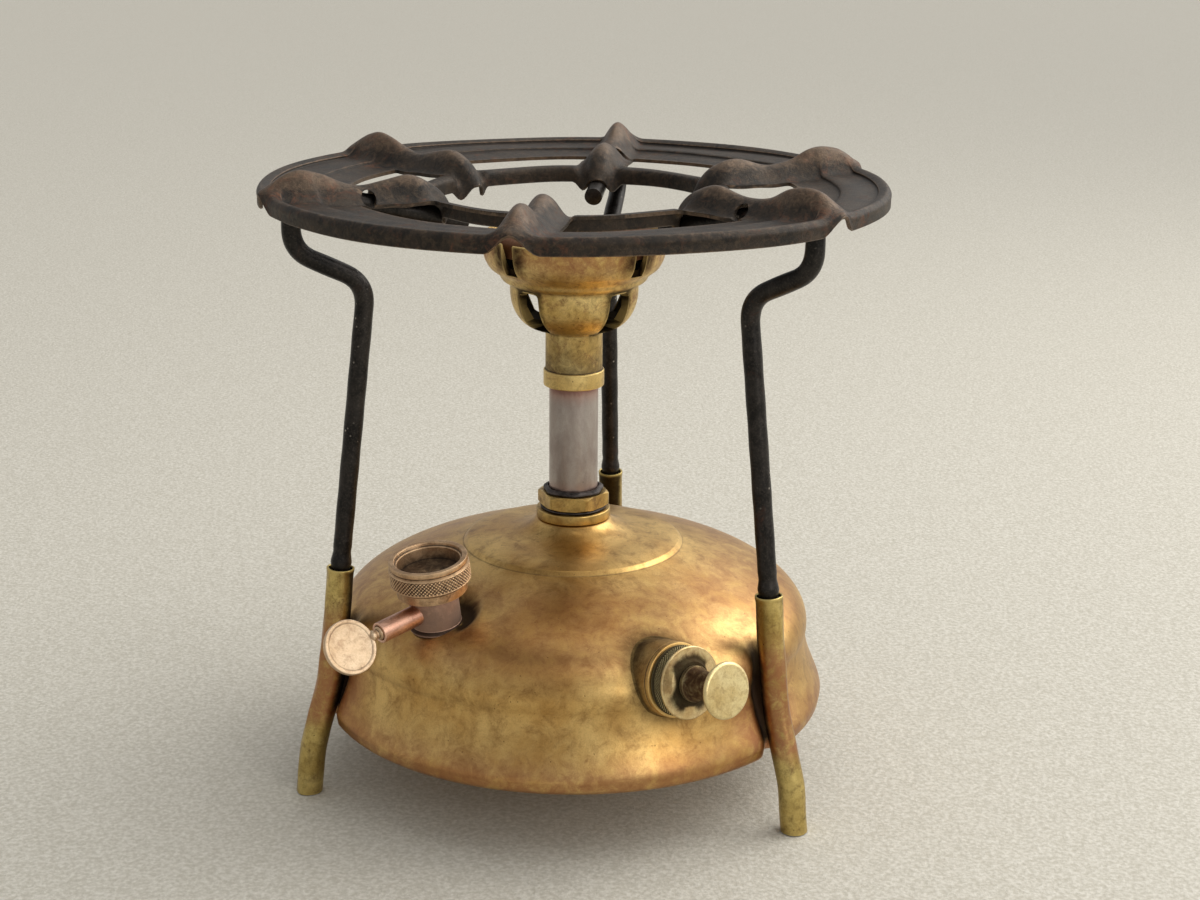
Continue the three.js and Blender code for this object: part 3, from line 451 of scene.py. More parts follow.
barrel_drill = spun([(0, -30), (BARREL_HOLE, -30), (BARREL_HOLE, 10), (0, 10)], 48)
barrel_hole = made("barrel_hole", stood(barrel_drill, PUMP_PLACE, PUMP_TURN, PUMP_TILT))
pierced(tank, neck_hole, barrel_hole)
worn(tank)
place = points_of(tank)
x, y, z = place.T
# Soot and painted shade on the tank: a dark band in each flute beside its tube, partly soot and partly
# painted shadow of the deep flute.
near_leg = np.abs(TANK_RADIUS * np.sin(off_leg(x, y))) + 300 * (np.hypot(x, y) < 60)
lean = 2.4 * np.sin(z * 0.23) + 1.1 * np.sin(z * 0.9)
soot_and_shade = (1 - smooth(near_leg + lean * 0.3, 4.6, 8.0)) * (1 - smooth(z, 54, 70)) * smooth(z, 26, 32)
# Painted shadow in the filler pocket, darkest on the neck's side towards the tank's middle.
from_neck = place[:, :2] - FILLER_PLACE[:2]
inwards = from_neck @ (0.8, 0.6) / np.linalg.norm(from_neck, axis=1)
from_neck = np.linalg.norm(from_neck, axis=1)
pocket_shade_side = 0.2 + 0.8 * smooth(inwards, -0.35, 0.5)
soot_and_shade = np.maximum(soot_and_shade, pocket_shade_side * (1 - smooth(from_neck, 9.5, 17.5)) * (z < 82))
# Painted shade round the pump seat, on the front half of the tank.
from_pump = np.linalg.norm(np.cross(place - PUMP_PLACE, PUMP_AXIS), axis=1)
soot_and_shade = np.maximum(soot_and_shade, 0.5 * (1 - smooth(from_pump, 12.2, 19)) * (y < 0))
marked(tank, "soot_and_shade", soot_and_shade)
rosy = (1 - smooth(near_leg, 8, 28)) * (1 - smooth(z, 46, 74))
rosy = np.maximum(rosy, 0.85 * (1 - smooth(z, 27, 41)))
rosy = np.maximum(rosy, 0.5 * smooth(z, 57, 66) * (1 - smooth(z, 76, 81)))
marked(tank, "blush", rosy)


PIT_BROWN, DIRT_BROWN, COPPER_BLUSH, SOOT_AND_SHADE_BLACK = (34, 24, 14), (34, 23, 14), (162, 108, 78), (26, 17, 11)


def aged_brass(name, light, mid, dark, stain, gloss, with_soot_and_shade=False, stain_share=0.5, speck=0.7, fine=1.0):
    """Old lacquerless brass: clouds of three tones, brown stains, fine dark freckles and pits, dirt
    in hollows and bright rubbed edges. Its roughness follows the stains."""
    finish = Finish(name)
    clouds = finish.noise(30 * fine, 5, 0.62, 0.4)
    mottle = finish.noise(7 * fine, 7, 0.72, 0.5, shift=7)
    blots = finish.noise(17 * fine, 8, 0.76, 0.8, shift=31)
    freckle = finish.noise(1.7 * fine, 6, 0.78, 0.3, shift=11)
    grain = finish.noise(0.5, 3, 0.65, shift=3)
    pits = 1 - finish.cells(2.6).between(0.03, 0.13)
    pits = pits * finish.noise(9, 3, shift=19).between(0.5, 0.6)
    stains = (blots + (freckle - 0.5) * 0.2).between(1 - stain_share, 1.2 - stain_share)
    colour = finish.layered(mid, (clouds.between(0.34, 0.66), light),
                            (mottle.between(0.42, 0.74) * 0.55, dark),
                            (stains * 0.62, stain),
                            ((freckle + (mottle - 0.5) * 0.5).between(0.5, 0.78) * 0.45, dark),
                            (grain.between(0.35, 0.75) * 0.22, dark),
                            (pits * speck, PIT_BROWN))
    nook, edge = finish.mark("nook"), finish.mark("edge")
    dirt = nook.between(0.03, 0.3) * mottle.between(0.2, 0.5)
    rough = (clouds - 0.5) * 0.2 + stains * 0.14 + freckle * 0.1 + (gloss - 0.05)
    # Black laid by the piece's soot mark. It holds real soot and, on the tank, leg tubes and filler neck and
    # cap, painted shade.
    if with_soot_and_shade:
        soot_and_shade = (finish.mark("soot_and_shade") + (mottle - 0.5) * 0.9 * finish.mark("soot_and_shade")).between(0.08, 0.8)
        colour = finish.layered(colour, (finish.mark("blush") * mottle.between(0.26, 0.56) * 0.75,
                                         COPPER_BLUSH), (soot_and_shade * 0.92, SOOT_AND_SHADE_BLACK))
        rough = rough + soot_and_shade * 0.3
    colour = finish.layered(colour, (dirt * 0.85, DIRT_BROWN), (edge.between(0.08, 0.5) * 0.6, light))
    height = (grain - 0.5) * 0.3 + (mottle - 0.5) * 0.7 + (freckle - 0.5) * 0.5 - pits * 0.8
    return finish.surface(colour, rough + dirt * 0.2, 1 - stains * 0.2 - dirt * 0.5, height, 0.08)


TANK_TONES = ((222, 188, 122), (190, 149, 86), (120, 82, 44), (124, 78, 48))
tank_brass = aged_brass("tank_brass", *TANK_TONES, 0.38, with_soot_and_shade=True, stain_share=0.38)
fitted(tank, tank_brass, "stove", "aged_brass", "tank_shell")

# ---- Tank base -------------------------------------------
# A dished brass plate seamed inside the shell's lip, with a stepped ring where it stands lowest.
plate = eased([(0, 28.4), (54.9, 28), (64.9, 25.6), (76.9, 25.6), (83.6, 27.6), (84.9, 25.4), (84.4, 24.9),
               (83.6, 25.6), (82.7, 26), (76.9, 24.6), (64.9, 24.6), (54.9, 27), (30, 27.3), (0, 27.4)], 1.6,
              4)
base = made("tank_underside", pressed(spun(plate, 240), 0))
worn(base)
marked(base, "soot_and_shade", 0.2)
marked(base, "blush", 0.3)
fitted(base, tank_brass, "stove", "aged_brass", "tank_base")

# ---- Leg tubes -------------------------------------------
# Brass tubes soldered into the flutes. Each splays to its foot, is pinched where it passes the
# tank's lip, and opens in a thin rolled mouth that the rod drops into.
TUBE_OUTER, TUBE_WALL, TUBE_TOP, TUBE_FOOT = 4.5, 0.65, 80.2, 9
TUBE_CORNERS = [(97.6, -6), (97, 0), (95.6, 13), (94, 20.5), (91.6, 29.2), (89, 37.6), (87.7, 44.6),
                (85.55, 61.4), (83.7, 80.2)]


def through(corners, count):
    """Points of the smooth curve through corners: between two of them it is the uniform cubic whose
    slopes are half the step from the corner before to the corner after."""
    p = np.array(corners, float)
    p = np.concatenate([2 * p[:1] - p[1:2], p, 2 * p[-1:] - p[-2:-1]])
    t = np.linspace(0, len(corners) - 1, count)
    k = np.minimum(t.astype(int), len(corners) - 2)
    t = (t - k)[:, None]
    a, b, c, d = p[k], p[k + 1], p[k + 2], p[k + 3]
    return 0.5 * (2 * b + (c - a) * t + (2 * a - 5 * b + 4 * c - d) * t ** 2
                  + (3 * b - a - 3 * c + d) * t ** 3)


def carried(path, across, deep, sides=40, foot=0.0):
    """A round section carried along a path of (radius, height) in the plane of X and Z. It is across
    wide and deep thick at each point, and near the first point it turns level over a foot's length."""
    along = np.gradient(path, axis=0)
    along /= np.linalg.norm(along, axis=1, keepdims=True)
    normal = np.stack([along[:, 1], -along[:, 0]], axis=1)
    if foot:
        share = smooth(path[:, 1] - path[0, 1], 0, foot)[:, None]
        normal = normal * share + np.array([1, 0]) * (1 - share)
    angle = circle(sides)[:, None]
    depth = np.cos(angle) * deep
    return np.stack([path[:, 0] + depth * normal[:, 0], np.sin(angle) * across,
                     path[:, 1] + depth * normal[:, 1]], axis=2)


tube_path = through(TUBE_CORNERS, 241)
tube_path = tube_path[tube_path[:, 1] >= 0]
tube_path[0, 1] = 0
pinch = np.exp(-(((tube_path[:, 1] - 43) / 13) ** 2))
mouth = smooth(tube_path[:, 1], TUBE_TOP - 2.2, TUBE_TOP)
across, deep = TUBE_OUTER - 0.62 * pinch + 0.22 * mouth, TUBE_OUTER + 0.25 * pinch + 0.22 * mouth
upward = np.array((-0.09, 0, 1))
rim_path = tube_path[-1] + np.outer(np.arange(1, 6) * 0.001, upward[[0, 2]])
rim_size = TUBE_OUTER + np.array([0.2, 0.08, -0.12, -0.34, -0.5])
rim_rise = np.array([0.12, 0.3, 0.36, 0.3, 0.1])
tube_grid = np.concatenate([
    carried(tube_path, across, deep, foot=TUBE_FOOT),
    carried(rim_path, rim_size, rim_size) + rim_rise[None, :, None] * upward,
    carried(tube_path, across - TUBE_WALL, deep - TUBE_WALL, foot=TUBE_FOOT)[:, ::-4]], axis=1)
leg_brass = aged_brass("leg_brass", (212, 190, 122), (178, 152, 88), (104, 80, 42), (92, 64, 40),
                       0.36, stain_share=0.5, speck=1.0, with_soot_and_shade=True, fine=0.5)
for leg, angle in LEG_ANGLES.items():
    dent = 0.16 * np.sin(tube_grid[..., 2] * 0.31 + angle) * np.cos(2 * np.arctan2(tube_grid[..., 1], 1))
    grid = tube_grid + np.stack([dent, 0 * dent, 0 * dent], axis=2)
    tube = made(f"leg_sleeve_{leg}", (stood(grid, (0, 0, 0), angle, 0), True))
    worn(tube)
    x, y, z = points_of(tube).T
    # Soot and painted shade on the side of each tube that faces into its flute, from about 30 mm up.
    inwards = smooth(np.interp(z, tube_path[:, 1], tube_path[:, 0]) - np.hypot(x, y), -0.5, 4)
    marked(tube, "soot_and_shade", inwards * smooth(z, 26, 34) * 0.85)
    marked(tube, "blush", 1.2 * smooth(z, 22, 32) * (1 - smooth(z, 54, 74)))
    fitted(tube, leg_brass, "stove", "leg_brass", f"leg_tube_{leg}")

# ---- Leg rods --------------------------------------------
# Blackened steel rod, bent out into a shoulder under the rim of the pot ring and then in to a
# tip that ends under the ring's hoop. It stands loose in its tube, on a slight swelling.
ROD_RADIUS = 3.15
ROD_CORNERS = [(85.1, 67.2), (83.7, 80.2), (72.2, 177.9), (96.4, 189.8), (96.4, 209.81), (37, 195.91)]
ROD_BENDS = (3, 8, 7, 7.5)


def bent(corners, bends, spacing):
    """Straight runs between corners, each corner cut back by its bend and rounded by a quadratic
    curve, then sampled at an even spacing."""
    p = np.array(corners, float)
    points = [p[0]]
    t = np.linspace(0, 1, 17)[:, None]
    for k, bend in enumerate(bends, 1):
        back = p[k] + (p[k - 1] - p[k]) * bend / np.linalg.norm(p[k - 1] - p[k])
        ahead = p[k] + (p[k + 1] - p[k]) * bend / np.linalg.norm(p[k + 1] - p[k])
        points.extend((1 - t) ** 2 * back + 2 * t * (1 - t) * p[k] + t ** 2 * ahead)
    points = np.array(points + [p[-1]])
    length = np.append(0, np.cumsum(np.linalg.norm(np.diff(points, axis=0), axis=1)))
    even = np.linspace(0, length[-1], int(length[-1] / spacing))
    return np.stack([np.interp(even, length, points[:, k]) for k in (0, 1)], axis=1), even


rod_path, rod_length = bent(ROD_CORNERS, ROD_BENDS, 0.9)
for _ in range(2):
    rod_path[1:-1] = (rod_path[:-2] + 2 * rod_path[1:-1] + rod_path[2:]) / 4
from_end = np.minimum(rod_length, rod_length[-1] - rod_length)
taper = np.sqrt(np.clip(1 - (1 - np.clip(from_end / 1.2, 0, 1)) ** 2, 0, 1))
neck = (0.42 * np.exp(-(((rod_path[:, 1] - 82.5) / 1.6) ** 2))
        - 0.2 * np.exp(-(((rod_path[:, 1] - 86.3) / 1.2) ** 2)))
rod_size = (ROD_RADIUS + neck + 0.05 * np.sin(rod_length * 0.42)) * (0.55 + 0.45 * taper)
rod_size[[0, -1]] = 0
rod_grid = carried(rod_path, rod_size, rod_size, 32)

oxide = Finish("black_oxide")
oxide_cloud = oxide.noise(7, 6, 0.7, 0.8)
oxide_grain = oxide.noise(0.7, 3, 0.7)
oxide_spots = 1 - oxide.cells(2.6).between(0.05, 0.2)
oxide_spots = oxide_spots * oxide.noise(11, 3, shift=5).between(0.5, 0.6)
oxide_rust = (oxide.noise(13, 7, 0.75, 1.2, shift=12)).between(0.56, 0.72)
oxide_colour = oxide.layered((14, 13, 12), (oxide_cloud.between(0.3, 0.75), (50, 46, 43)),
                             (oxide_grain.between(0.45, 0.8) * 0.35, (92, 84, 78)),
                             (oxide_rust * 0.45, (74, 44, 30)),
                             (oxide_spots * 0.8, (168, 160, 150)),
                             (oxide.mark("edge").between(0.1, 0.5) * 0.4, (120, 112, 104)))
rod_black = oxide.surface(oxide_colour, oxide_cloud * 0.32 + oxide_grain * 0.12 + 0.16, 0.7,
                          oxide_cloud * 0.9 + oxide_grain * 0.35 + oxide_spots * 0.3, 0.16)
for leg, angle in LEG_ANGLES.items():
    rod = made(f"leg_wire_{leg}", stood(rod_grid, (0, 0, 0), angle, 0))
    worn(rod)
    fitted(rod, rod_black, "stove", "rod_steel", f"leg_rod_{leg}")

# ---- Pot ring --------------------------------------------
# One steel sheet pressed into a rim, a band and an inner hoop. Six ridges cross the band; three
# of them ride on the rods. The metal between the ridges is punched out, and the black is worn to
# rust and bare steel on top.
RING_SKIRT, RING_WALL, RING_COLUMNS, RING_ROWS = 202.7, 1.2, 360, 118
SLOT_INNER, SLOT_OUTER, RIDGE_HALF_WIDTH, SADDLE_R = 52.0, 76.0, 8.2, 75.0
FLAT_CORNERS = [(105, 0), (105, 2.0), (105, 3.9), (103.6, 5.4), (101, 4.7), (99.6, 3.6), (89.5, 3.6),
                (87, 2.5), (76, 1.9), (64, 1.9), (52, 2.3), (49.4, 2.3), (48, 1.1), (48, -2.9)]
CREST_CORNERS = [(106.8, 5.7), (106.3, 6.5), (105.4, 7.2), (103.4, 8.3), (100.5, 10.3), (97, 12), (92, 12.8),
                 (86, 11.5), (79, 8.3), (71, 7.2), (58.5, 9.8), (51, 7.5), (46, 3.3), (43.2, -1.2)]


def sheet(grid, wall):
    """A surface grid of columns by rows given a wall on the side away from its normal, as a closed loop
    of rows with rounded edges."""
    around = np.roll(grid, -1, axis=0) - np.roll(grid, 1, axis=0)
    along = np.gradient(grid, axis=1)
    normal = np.cross(around, along)
    normal /= np.linalg.norm(normal, axis=2, keepdims=True)
    back = grid - normal * wall
    edge = lambda row, out: (grid[:, row:row + 1] + back[:, row:row + 1]) / 2 + out
    reach = lambda a, b: wall * 0.28 * (grid[:, a:a + 1] - grid[:, b:b + 1]) / np.linalg.norm(
        grid[:, a:a + 1] - grid[:, b:b + 1], axis=2, keepdims=True)
    last = grid.shape[1] - 1
    return np.concatenate([grid, edge(last, reach(last, last - 1)), back[:, ::-1], edge(0, reach(0, 1))],
                          axis=1)


flat_line, crest_line = through(FLAT_CORNERS, RING_ROWS), through(CREST_CORNERS, RING_ROWS)
turn = circle(RING_COLUMNS)
off_ridge = (turn + np.radians(10)) % np.radians(60) - np.radians(30)
near = np.sign(off_ridge) * (np.abs(off_ridge) / np.radians(30)) ** 1.45 * np.radians(30)
turn, off_ridge = turn - off_ridge + near, near
radius = flat_line[None, :, 0] + 0 * turn[:, None]
rise = fold(radius * np.sin(off_ridge)[:, None] / (RIDGE_HALF_WIDTH + 0.3))
radius = flat_line[:, 0] + (crest_line[:, 0] - flat_line[:, 0]) * rise
height = RING_SKIRT + flat_line[:, 1] + (crest_line[:, 1] - flat_line[:, 1]) * rise
inner_share = smooth(-radius, -56, -46)
sideways = radius * np.abs(np.sin(off_ridge))[:, None]
hood = fold((sideways - 5.6) / 3.6) * inner_share
height = height - 3.2 * hood
height = (height + 0.12 * np.sin(radius * 0.5 + 5 * turn[:, None])
          + 0.1 * np.sin(radius * 0.21 - 9 * turn[:, None]))
turn = turn[:, None] + 0 * radius
ring_grid = sheet(np.stack([radius * np.cos(turn), radius * np.sin(turn), height], axis=2), RING_WALL)
ring = made("ring_sheet", (ring_grid, True), crease=50)
tools = []
for k in range(6):
    middle = math.radians(20 + 60 * k + 30)
    corners = []
    for rim_radius, way in ((SLOT_OUTER, 1), (SLOT_INNER, -1)):
        reach = math.radians(30) - math.asin((RIDGE_HALF_WIDTH + 0.4) / rim_radius)
        sweep = middle + way * reach * np.linspace(-1, 1, 13)
        corners.append(np.stack([rim_radius * np.cos(sweep), rim_radius * np.sin(sweep)], axis=1))
    outline = np.concatenate(corners)
    outline = eased_loop(outline, 1.6, 4)
    centre = outline.mean(0)
    column = np.stack([np.column_stack([centre + (outline - centre) * s,
                                        np.full(len(outline), RING_SKIRT + h)]) for s,
                       h in ((0, -4), (1, -4), (1, 8), (0, 8))], axis=1)
    tools.append(made(f"slot_tool_{k}", column))
for angle in LEG_ANGLES.values():
    hole = (spun([(0, -9), (2.4, -9), (2.4, 9), (0, 9)], 24)[..., [0, 2, 1]]
            + (SADDLE_R - 3, 0, RING_SKIRT + 3.6))
    tools.append(made(f"hole_tool_{angle}", stood(hole, (0, 0, 0), angle, 0)))
pierced(ring, *tools, crease=50)
worn(ring, 1.0)
x, y, z = points_of(ring).T
radius, turn = np.hypot(x, y), np.arctan2(y, x)
off_ridge = np.abs((turn + np.radians(10)) % np.radians(60) - np.radians(30)) * radius
marked(ring, "crest", smooth(z, RING_SKIRT + 3.2, RING_SKIRT + 9))
marked(ring, "rusty", 0.6 * (1 - smooth(off_ridge, 5, 26)) * smooth(radius, 68, 88))

steel = Finish("ring_steel")
steel_cloud = steel.noise(14, 6, 0.7, 0.7)
steel_blots = steel.noise(5.5, 7, 0.75, 1.0, shift=9)
steel_grain = steel.noise(0.6, 4, 0.7, shift=2)
steel_flake = steel.noise(2.2, 5, 0.7, 0.5, shift=14)
steel_crest, steel_rusty = steel.mark("crest"), steel.mark("rusty")
steel_rust = (steel_blots + steel_rusty * 0.12 + (steel_grain - 0.5) * 0.14).between(0.54, 0.74)
steel_bare = (steel_crest * 0.5 + steel.mark("edge") * 0.55 + (steel_flake - 0.5) * 0.7).between(0.2, 0.75)
steel_colour = steel.layered((20, 17, 14), (steel_cloud.between(0.32, 0.7), (58, 48, 38)),
                             (steel_flake.between(0.42, 0.74) * 0.5, (90, 74, 58)),
                             (steel_rust * 0.62, (98, 58, 34)),
                             ((steel_blots + steel_rusty * 0.12).between(0.66, 0.82) * 0.45, (140, 86, 54)),
                             (steel_bare * 0.4, (146, 120, 96)),
                             (steel.mark("nook").between(0.06, 0.4) * 0.6, (24, 20, 18)),
                             (steel_grain.between(0.3, 0.7) * 0.25, (22, 18, 16)))
steel_rough = steel_grain * 0.2 + steel_rust * 0.2 - steel_bare * 0.12 + 0.42
ring_steel = steel.surface(steel_colour, steel_rough, 0.55 - steel_rust * 0.3,
                           steel_grain * 0.6 + steel_flake * 0.7 + steel_blots * 0.8, 0.2)
fitted(ring, ring_steel, "pot_ring", "ring_steel", "pot_ring")

# ---- Riser, its nut and its rings ------------------------
# The steel riser screws into a brass socket on the tank. A lead washer and a hexagon nut lock it,
# and a smear of old jointing paste sits on the nut.
NUT_FLATS, NUT_LOW, NUT_HIGH, NUT_TURN = 22.0, 94.5, 99.4, -98



def collar(corners, bend, columns=96):
    """A closed outline with eased corners turned round Z, as a looped patch."""
    return spun(eased_loop(corners, bend), columns), True


socket_piece = made("socket_collar", collar([(4.3, 80.7), (9.95, 80.7), (9.95, 90), (12.9, 90), (12.9, 93.4),
                                             (8.75, 93.4), (8.75, 86.4), (4.3, 86.4)], 0.45))
washer = made("lead_washer", collar([(8.75, 93.7), (11.5, 93.7), (11.5, 94.2), (8.75, 94.2)], 0.2))
nut_height = np.concatenate([np.linspace(NUT_LOW, NUT_HIGH, 25), np.linspace(NUT_HIGH, NUT_LOW, 5)])
nut_angle = circle(240)[:, None]
nut_flat = np.abs((nut_angle - math.radians(NUT_TURN) + np.pi / 6) % (np.pi / 3) - np.pi / 6)
from_face = np.minimum(nut_height - NUT_LOW, NUT_HIGH - nut_height)[:25]
chamfer = NUT_FLATS / 2 + 0.35 + from_face * 1.9
hexagon = np.minimum(NUT_FLATS / 2 / np.cos(nut_flat), NUT_FLATS / 2 / math.cos(math.pi / 6) - 0.25)
nut_radius = np.minimum(hexagon, np.broadcast_to(chamfer, (240, 25)))
nut_radius = np.concatenate([nut_radius, np.full((240, 5), 8.75)], axis=1)
nut = made("lock_nut", (polar(nut_radius, nut_angle, nut_height), True), crease=20)
paste_grid, _ = collar([(8.75, 99.7), (10.4, 99.7), (10.3, 100.5), (9.5, 101.1), (8.75, 101.1)], 0.5, 120)
lumps = 1 + 0.035 * np.sin(circle(120) * 7)[:, None, None] * np.array([1, 1, 0])
paste = made("jointing_paste", (paste_grid * lumps, True))
riser = made("riser_pipe", collar([(6.5, 86.7), (8.45, 86.7), (8.45, 149.7), (6.5, 149.7)], 0.3, 128))
nut_brass = aged_brass("nut_brass", (208, 178, 110), (174, 138, 78), (104, 76, 42), (88, 58, 38),
                       0.33, stain_share=0.5, fine=0.5)
for piece in (socket_piece, nut):
    worn(piece, 0.4)
fitted(socket_piece, nut_brass, "stove", "yellow_brass", "riser_socket")
fitted(nut, nut_brass, "stove", "yellow_brass", "burner_nut")

lead = Finish("dull_lead")
lead_cloud = lead.noise(3, 5, 0.7)
lead_colour = lead.layered((38, 33, 31), (lead_cloud.between(0.3, 0.7), (92, 84, 82)))
old_lead = lead.surface(lead_colour, 0.55, 0.5, lead_cloud, 0.2)
fitted(washer, old_lead, "stove", "lead", "riser_washer")
fitted(paste, old_lead, "stove", "lead", "riser_seal_ring")

pipe = Finish("riser_steel")
pipe_height = pipe.node("ShaderNodeSeparateXYZ", {}, {0: pipe.place}, 2)
pipe_cloud = pipe.noise(9, 5, 0.65, 0.4, (1, 1, 2.2))
pipe_grain = pipe.noise(0.5, 3, 0.7)
pipe_scratch = pipe.noise(0.35, 2, 0.6, 0, (7, 7, 0.6), 4)
pipe_pink = ((105.5 - pipe_height) * 0.12).between(0, 0.9).most(
    ((pipe_height - 130.5) * 0.12).between(0, 0.9))
pipe_pits = (1 - pipe.cells(4.0).between(0.04, 0.13)) * pipe.noise(12, 2, shift=8).between(0.5, 0.6)
pipe_scorch = ((pipe_height - 134.6) * 0.5 + (pipe_cloud - 0.5) * 2).between(0, 1.2)
pipe_colour = pipe.layered((178, 170, 164), (pipe_cloud.between(0.3, 0.72), (150, 138, 132)),
                           (pipe_pink * 0.7, (166, 122, 106)),
                           (pipe_pits, (58, 40, 32)),
                           (pipe_scorch * 0.6, (112, 72, 62)),
                           (pipe_grain.between(0.4, 0.8) * 0.2, (120, 104, 100)))
riser_steel = pipe.surface(pipe_colour, pipe_cloud * 0.16 + pipe_grain * 0.1 + 0.26, 0.92,
                           pipe_grain * 0.3 + pipe_scratch * 0.3 + pipe_cloud * 0.5, 0.05)
fitted(riser, riser_steel, "stove", "riser_steel", "burner_riser")

# ---- Burner ----------------------------------------------
# A cast and turned brass burner: a banded sleeve on the riser, a bowl with four large windows and
# four notches in its cup. Two loose caps inside spread the flame without noise.
CAGE_LOW, CUP_LOW, CUP_TOP = 157.4, 172.4, 190.0
WINDOW_HALF_WIDTH, WINDOW_HALF_HEIGHT, WINDOW_MIDDLE = 4.5, 7.1, 165.3
NOTCH_HALF_WIDTH, NOTCH_LOW, NOTCH_MIDDLE, NOTCH_TOP = 2.6, 179.2, 185, 192

cage = bezier([(9.75, CAGE_LOW), (17.9, 157.0), (22.3, 164.2), (21.8, CUP_LOW)], 30)
burner_outside = np.concatenate([eased([(8.75, 137.5), (10.45, 137.5), (10.45, 143), (9.8, 143.3),
                                        (9.75, 156.4), cage[1]], 0.5, 4)[:-1], cage[1:],
                                 eased([cage[-1], (22.3, 173.4), (24.6, 174.6), (25.6, 176.6), (28.8, 178.9),
                                        (30.4, 181.8), (31.3, 185.8), (31.6, CUP_TOP), (30.0, CUP_TOP)], 1.0,
                                       4)[1:]])
burner_inside = eased([(30, CUP_TOP), (29.4, 184.8), (26.8, 180), (21.8, 177.4), (11, 176.4), (11, 173.8),
                       (18.6, 171.8), (18.4, 166.9), (15.3, 162), (7, 160), (3.3, 160), (3.3, 150),
                       (8.75, 150), (8.75, 137.5)], 0.4, 3)
burner_line = np.concatenate([burner_outside[:-1], burner_inside[1:-1]])
burner = made("burner_bowl", (spun(burner_line, 192), True))


def drill(across, heights, middle, near, far):
    """A blunt tool along X from one radius to another, with an outline of (across, height)."""
    return np.stack([np.stack([np.full(len(across), r), across * s, middle + (heights - middle) * s], axis=1)
                     for r, s in ((near, 0), (near, 1), (far, 1), (far, 0))], axis=1)


t = circle(48)
squared = lambda wave: np.sign(wave) * np.abs(wave) ** 0.3
window = drill(WINDOW_HALF_WIDTH * squared(np.cos(t)),
               WINDOW_MIDDLE + WINDOW_HALF_HEIGHT * squared(np.sin(t)), WINDOW_MIDDLE, 10.4, 26)
notch = drill(NOTCH_HALF_WIDTH * np.array((-1, 1, 1, -1)), np.array((NOTCH_LOW, NOTCH_LOW, NOTCH_TOP,
                                                                     NOTCH_TOP)), NOTCH_MIDDLE, 27.4, 34)
tools = []
for k in range(4):
    for name, tool in (("window", window), ("notch", notch)):
        tools.append(made(f"{name}_tool_{k}", stood(tool, (0, 0, 0), 45 + 90 * k, 0)))
pierced(burner, *tools)
worn(burner, 0.5)
x, y, z = points_of(burner).T
radius, turn = np.hypot(x, y), np.arctan2(y, x)
off_window = np.abs((turn + np.pi / 2) % (np.pi / 2) - np.pi / 4) * 24
outline_radius = np.interp(z, burner_outside[:-2, 1], burner_outside[:-2, 0])
inward = smooth(outline_radius - radius, 0.5, 1.6)
beside = np.maximum(off_window - WINDOW_HALF_WIDTH, 0)
beyond = np.maximum(np.abs(z - WINDOW_MIDDLE) - WINDOW_HALF_HEIGHT, 0)
by_window = (1 - smooth(np.hypot(beside, beyond), 0.2, 4.5)) * (z > 150)
by_notch = (1 - smooth(off_window, 3, 9)) * smooth(z, 176, 184)
marked(burner, "soot_and_shade", np.maximum(inward, 0.62 * np.maximum(by_window, by_notch)))
marked(burner, "blush", 0.8 * smooth(z, 176, 186))
burner_brass = aged_brass("burner_brass", (232, 206, 140), (204, 172, 104), (96, 66, 38), (124, 66, 50),
                          0.42, stain_share=0.5, speck=1.0, with_soot_and_shade=True, fine=0.45)
fitted(burner, burner_brass, "stove", "burner_brass", "burner_body")
clothed("jet_nipple", nut_brass)

inner_cap = made("inner_flame_cap", collar([(9.5, 174.4), (10.7, 174.4), (10.7, 176.7), (14, 178),
                                            (19.5, 179.8), (19.5, 182.9), (18.5, 182.9), (18.5, 180.6),
                                            (9.5, 178)], 0.35))
outer_line = eased([(0, 192.4), (14, 191.6), (26.6, 188.8), (27.4, 184.6), (28.6, 184.6), (28.6, 189.2),
                    (27, 190.4), (14, 192.8), (0, 193.6)], 0.8, 4)
outer_cap = made("outer_flame_cap", spun(outer_line, 128))
for piece in (inner_cap, outer_cap):
    worn(piece, 0.4)
    marked(piece, "soot_and_shade", 0.5)
    marked(piece, "blush", 1)
cap_brass = aged_brass("flame_cap_brass", (150, 112, 76), (108, 78, 52), (60, 44, 32), (78, 48, 34),
                       0.42, stain_share=0.55, with_soot_and_shade=True)
fitted(inner_cap, cap_brass, "inner_cap", "riser_steel", "burner_inner_cap")
fitted(outer_cap, cap_brass, "outer_cap", "rosy_brass", "burner_outer_cap")

# ---- Filler ----------------------------------------------
# A copper-toned neck soldered into the pocket, with a bored side arm. Its screw cap has a plain
# skirt, a diamond knurl and a deep dish, and closes on a rubber washer.
NECK_BODY, NECK_SHOULDER, NECK_OUTER, NECK_BORE, NECK_TOP = 8.2, 11.2, 6.6, 4.9, 14.5
CAP_LOW, CAP_HIGH, CAP_RADIUS, CAP_SKIRT = 11.8, 23.8, 13.3, 11.7
ARM_HEIGHT, ARM_RADIUS, ARM_LENGTH, ARM_ANGLE = 5.8, 3.5, 23.0, -6
KNURL_DEPTH = 0.42
CAP_DIAMONDS, PUMP_CAP_DIAMONDS = 66, 76


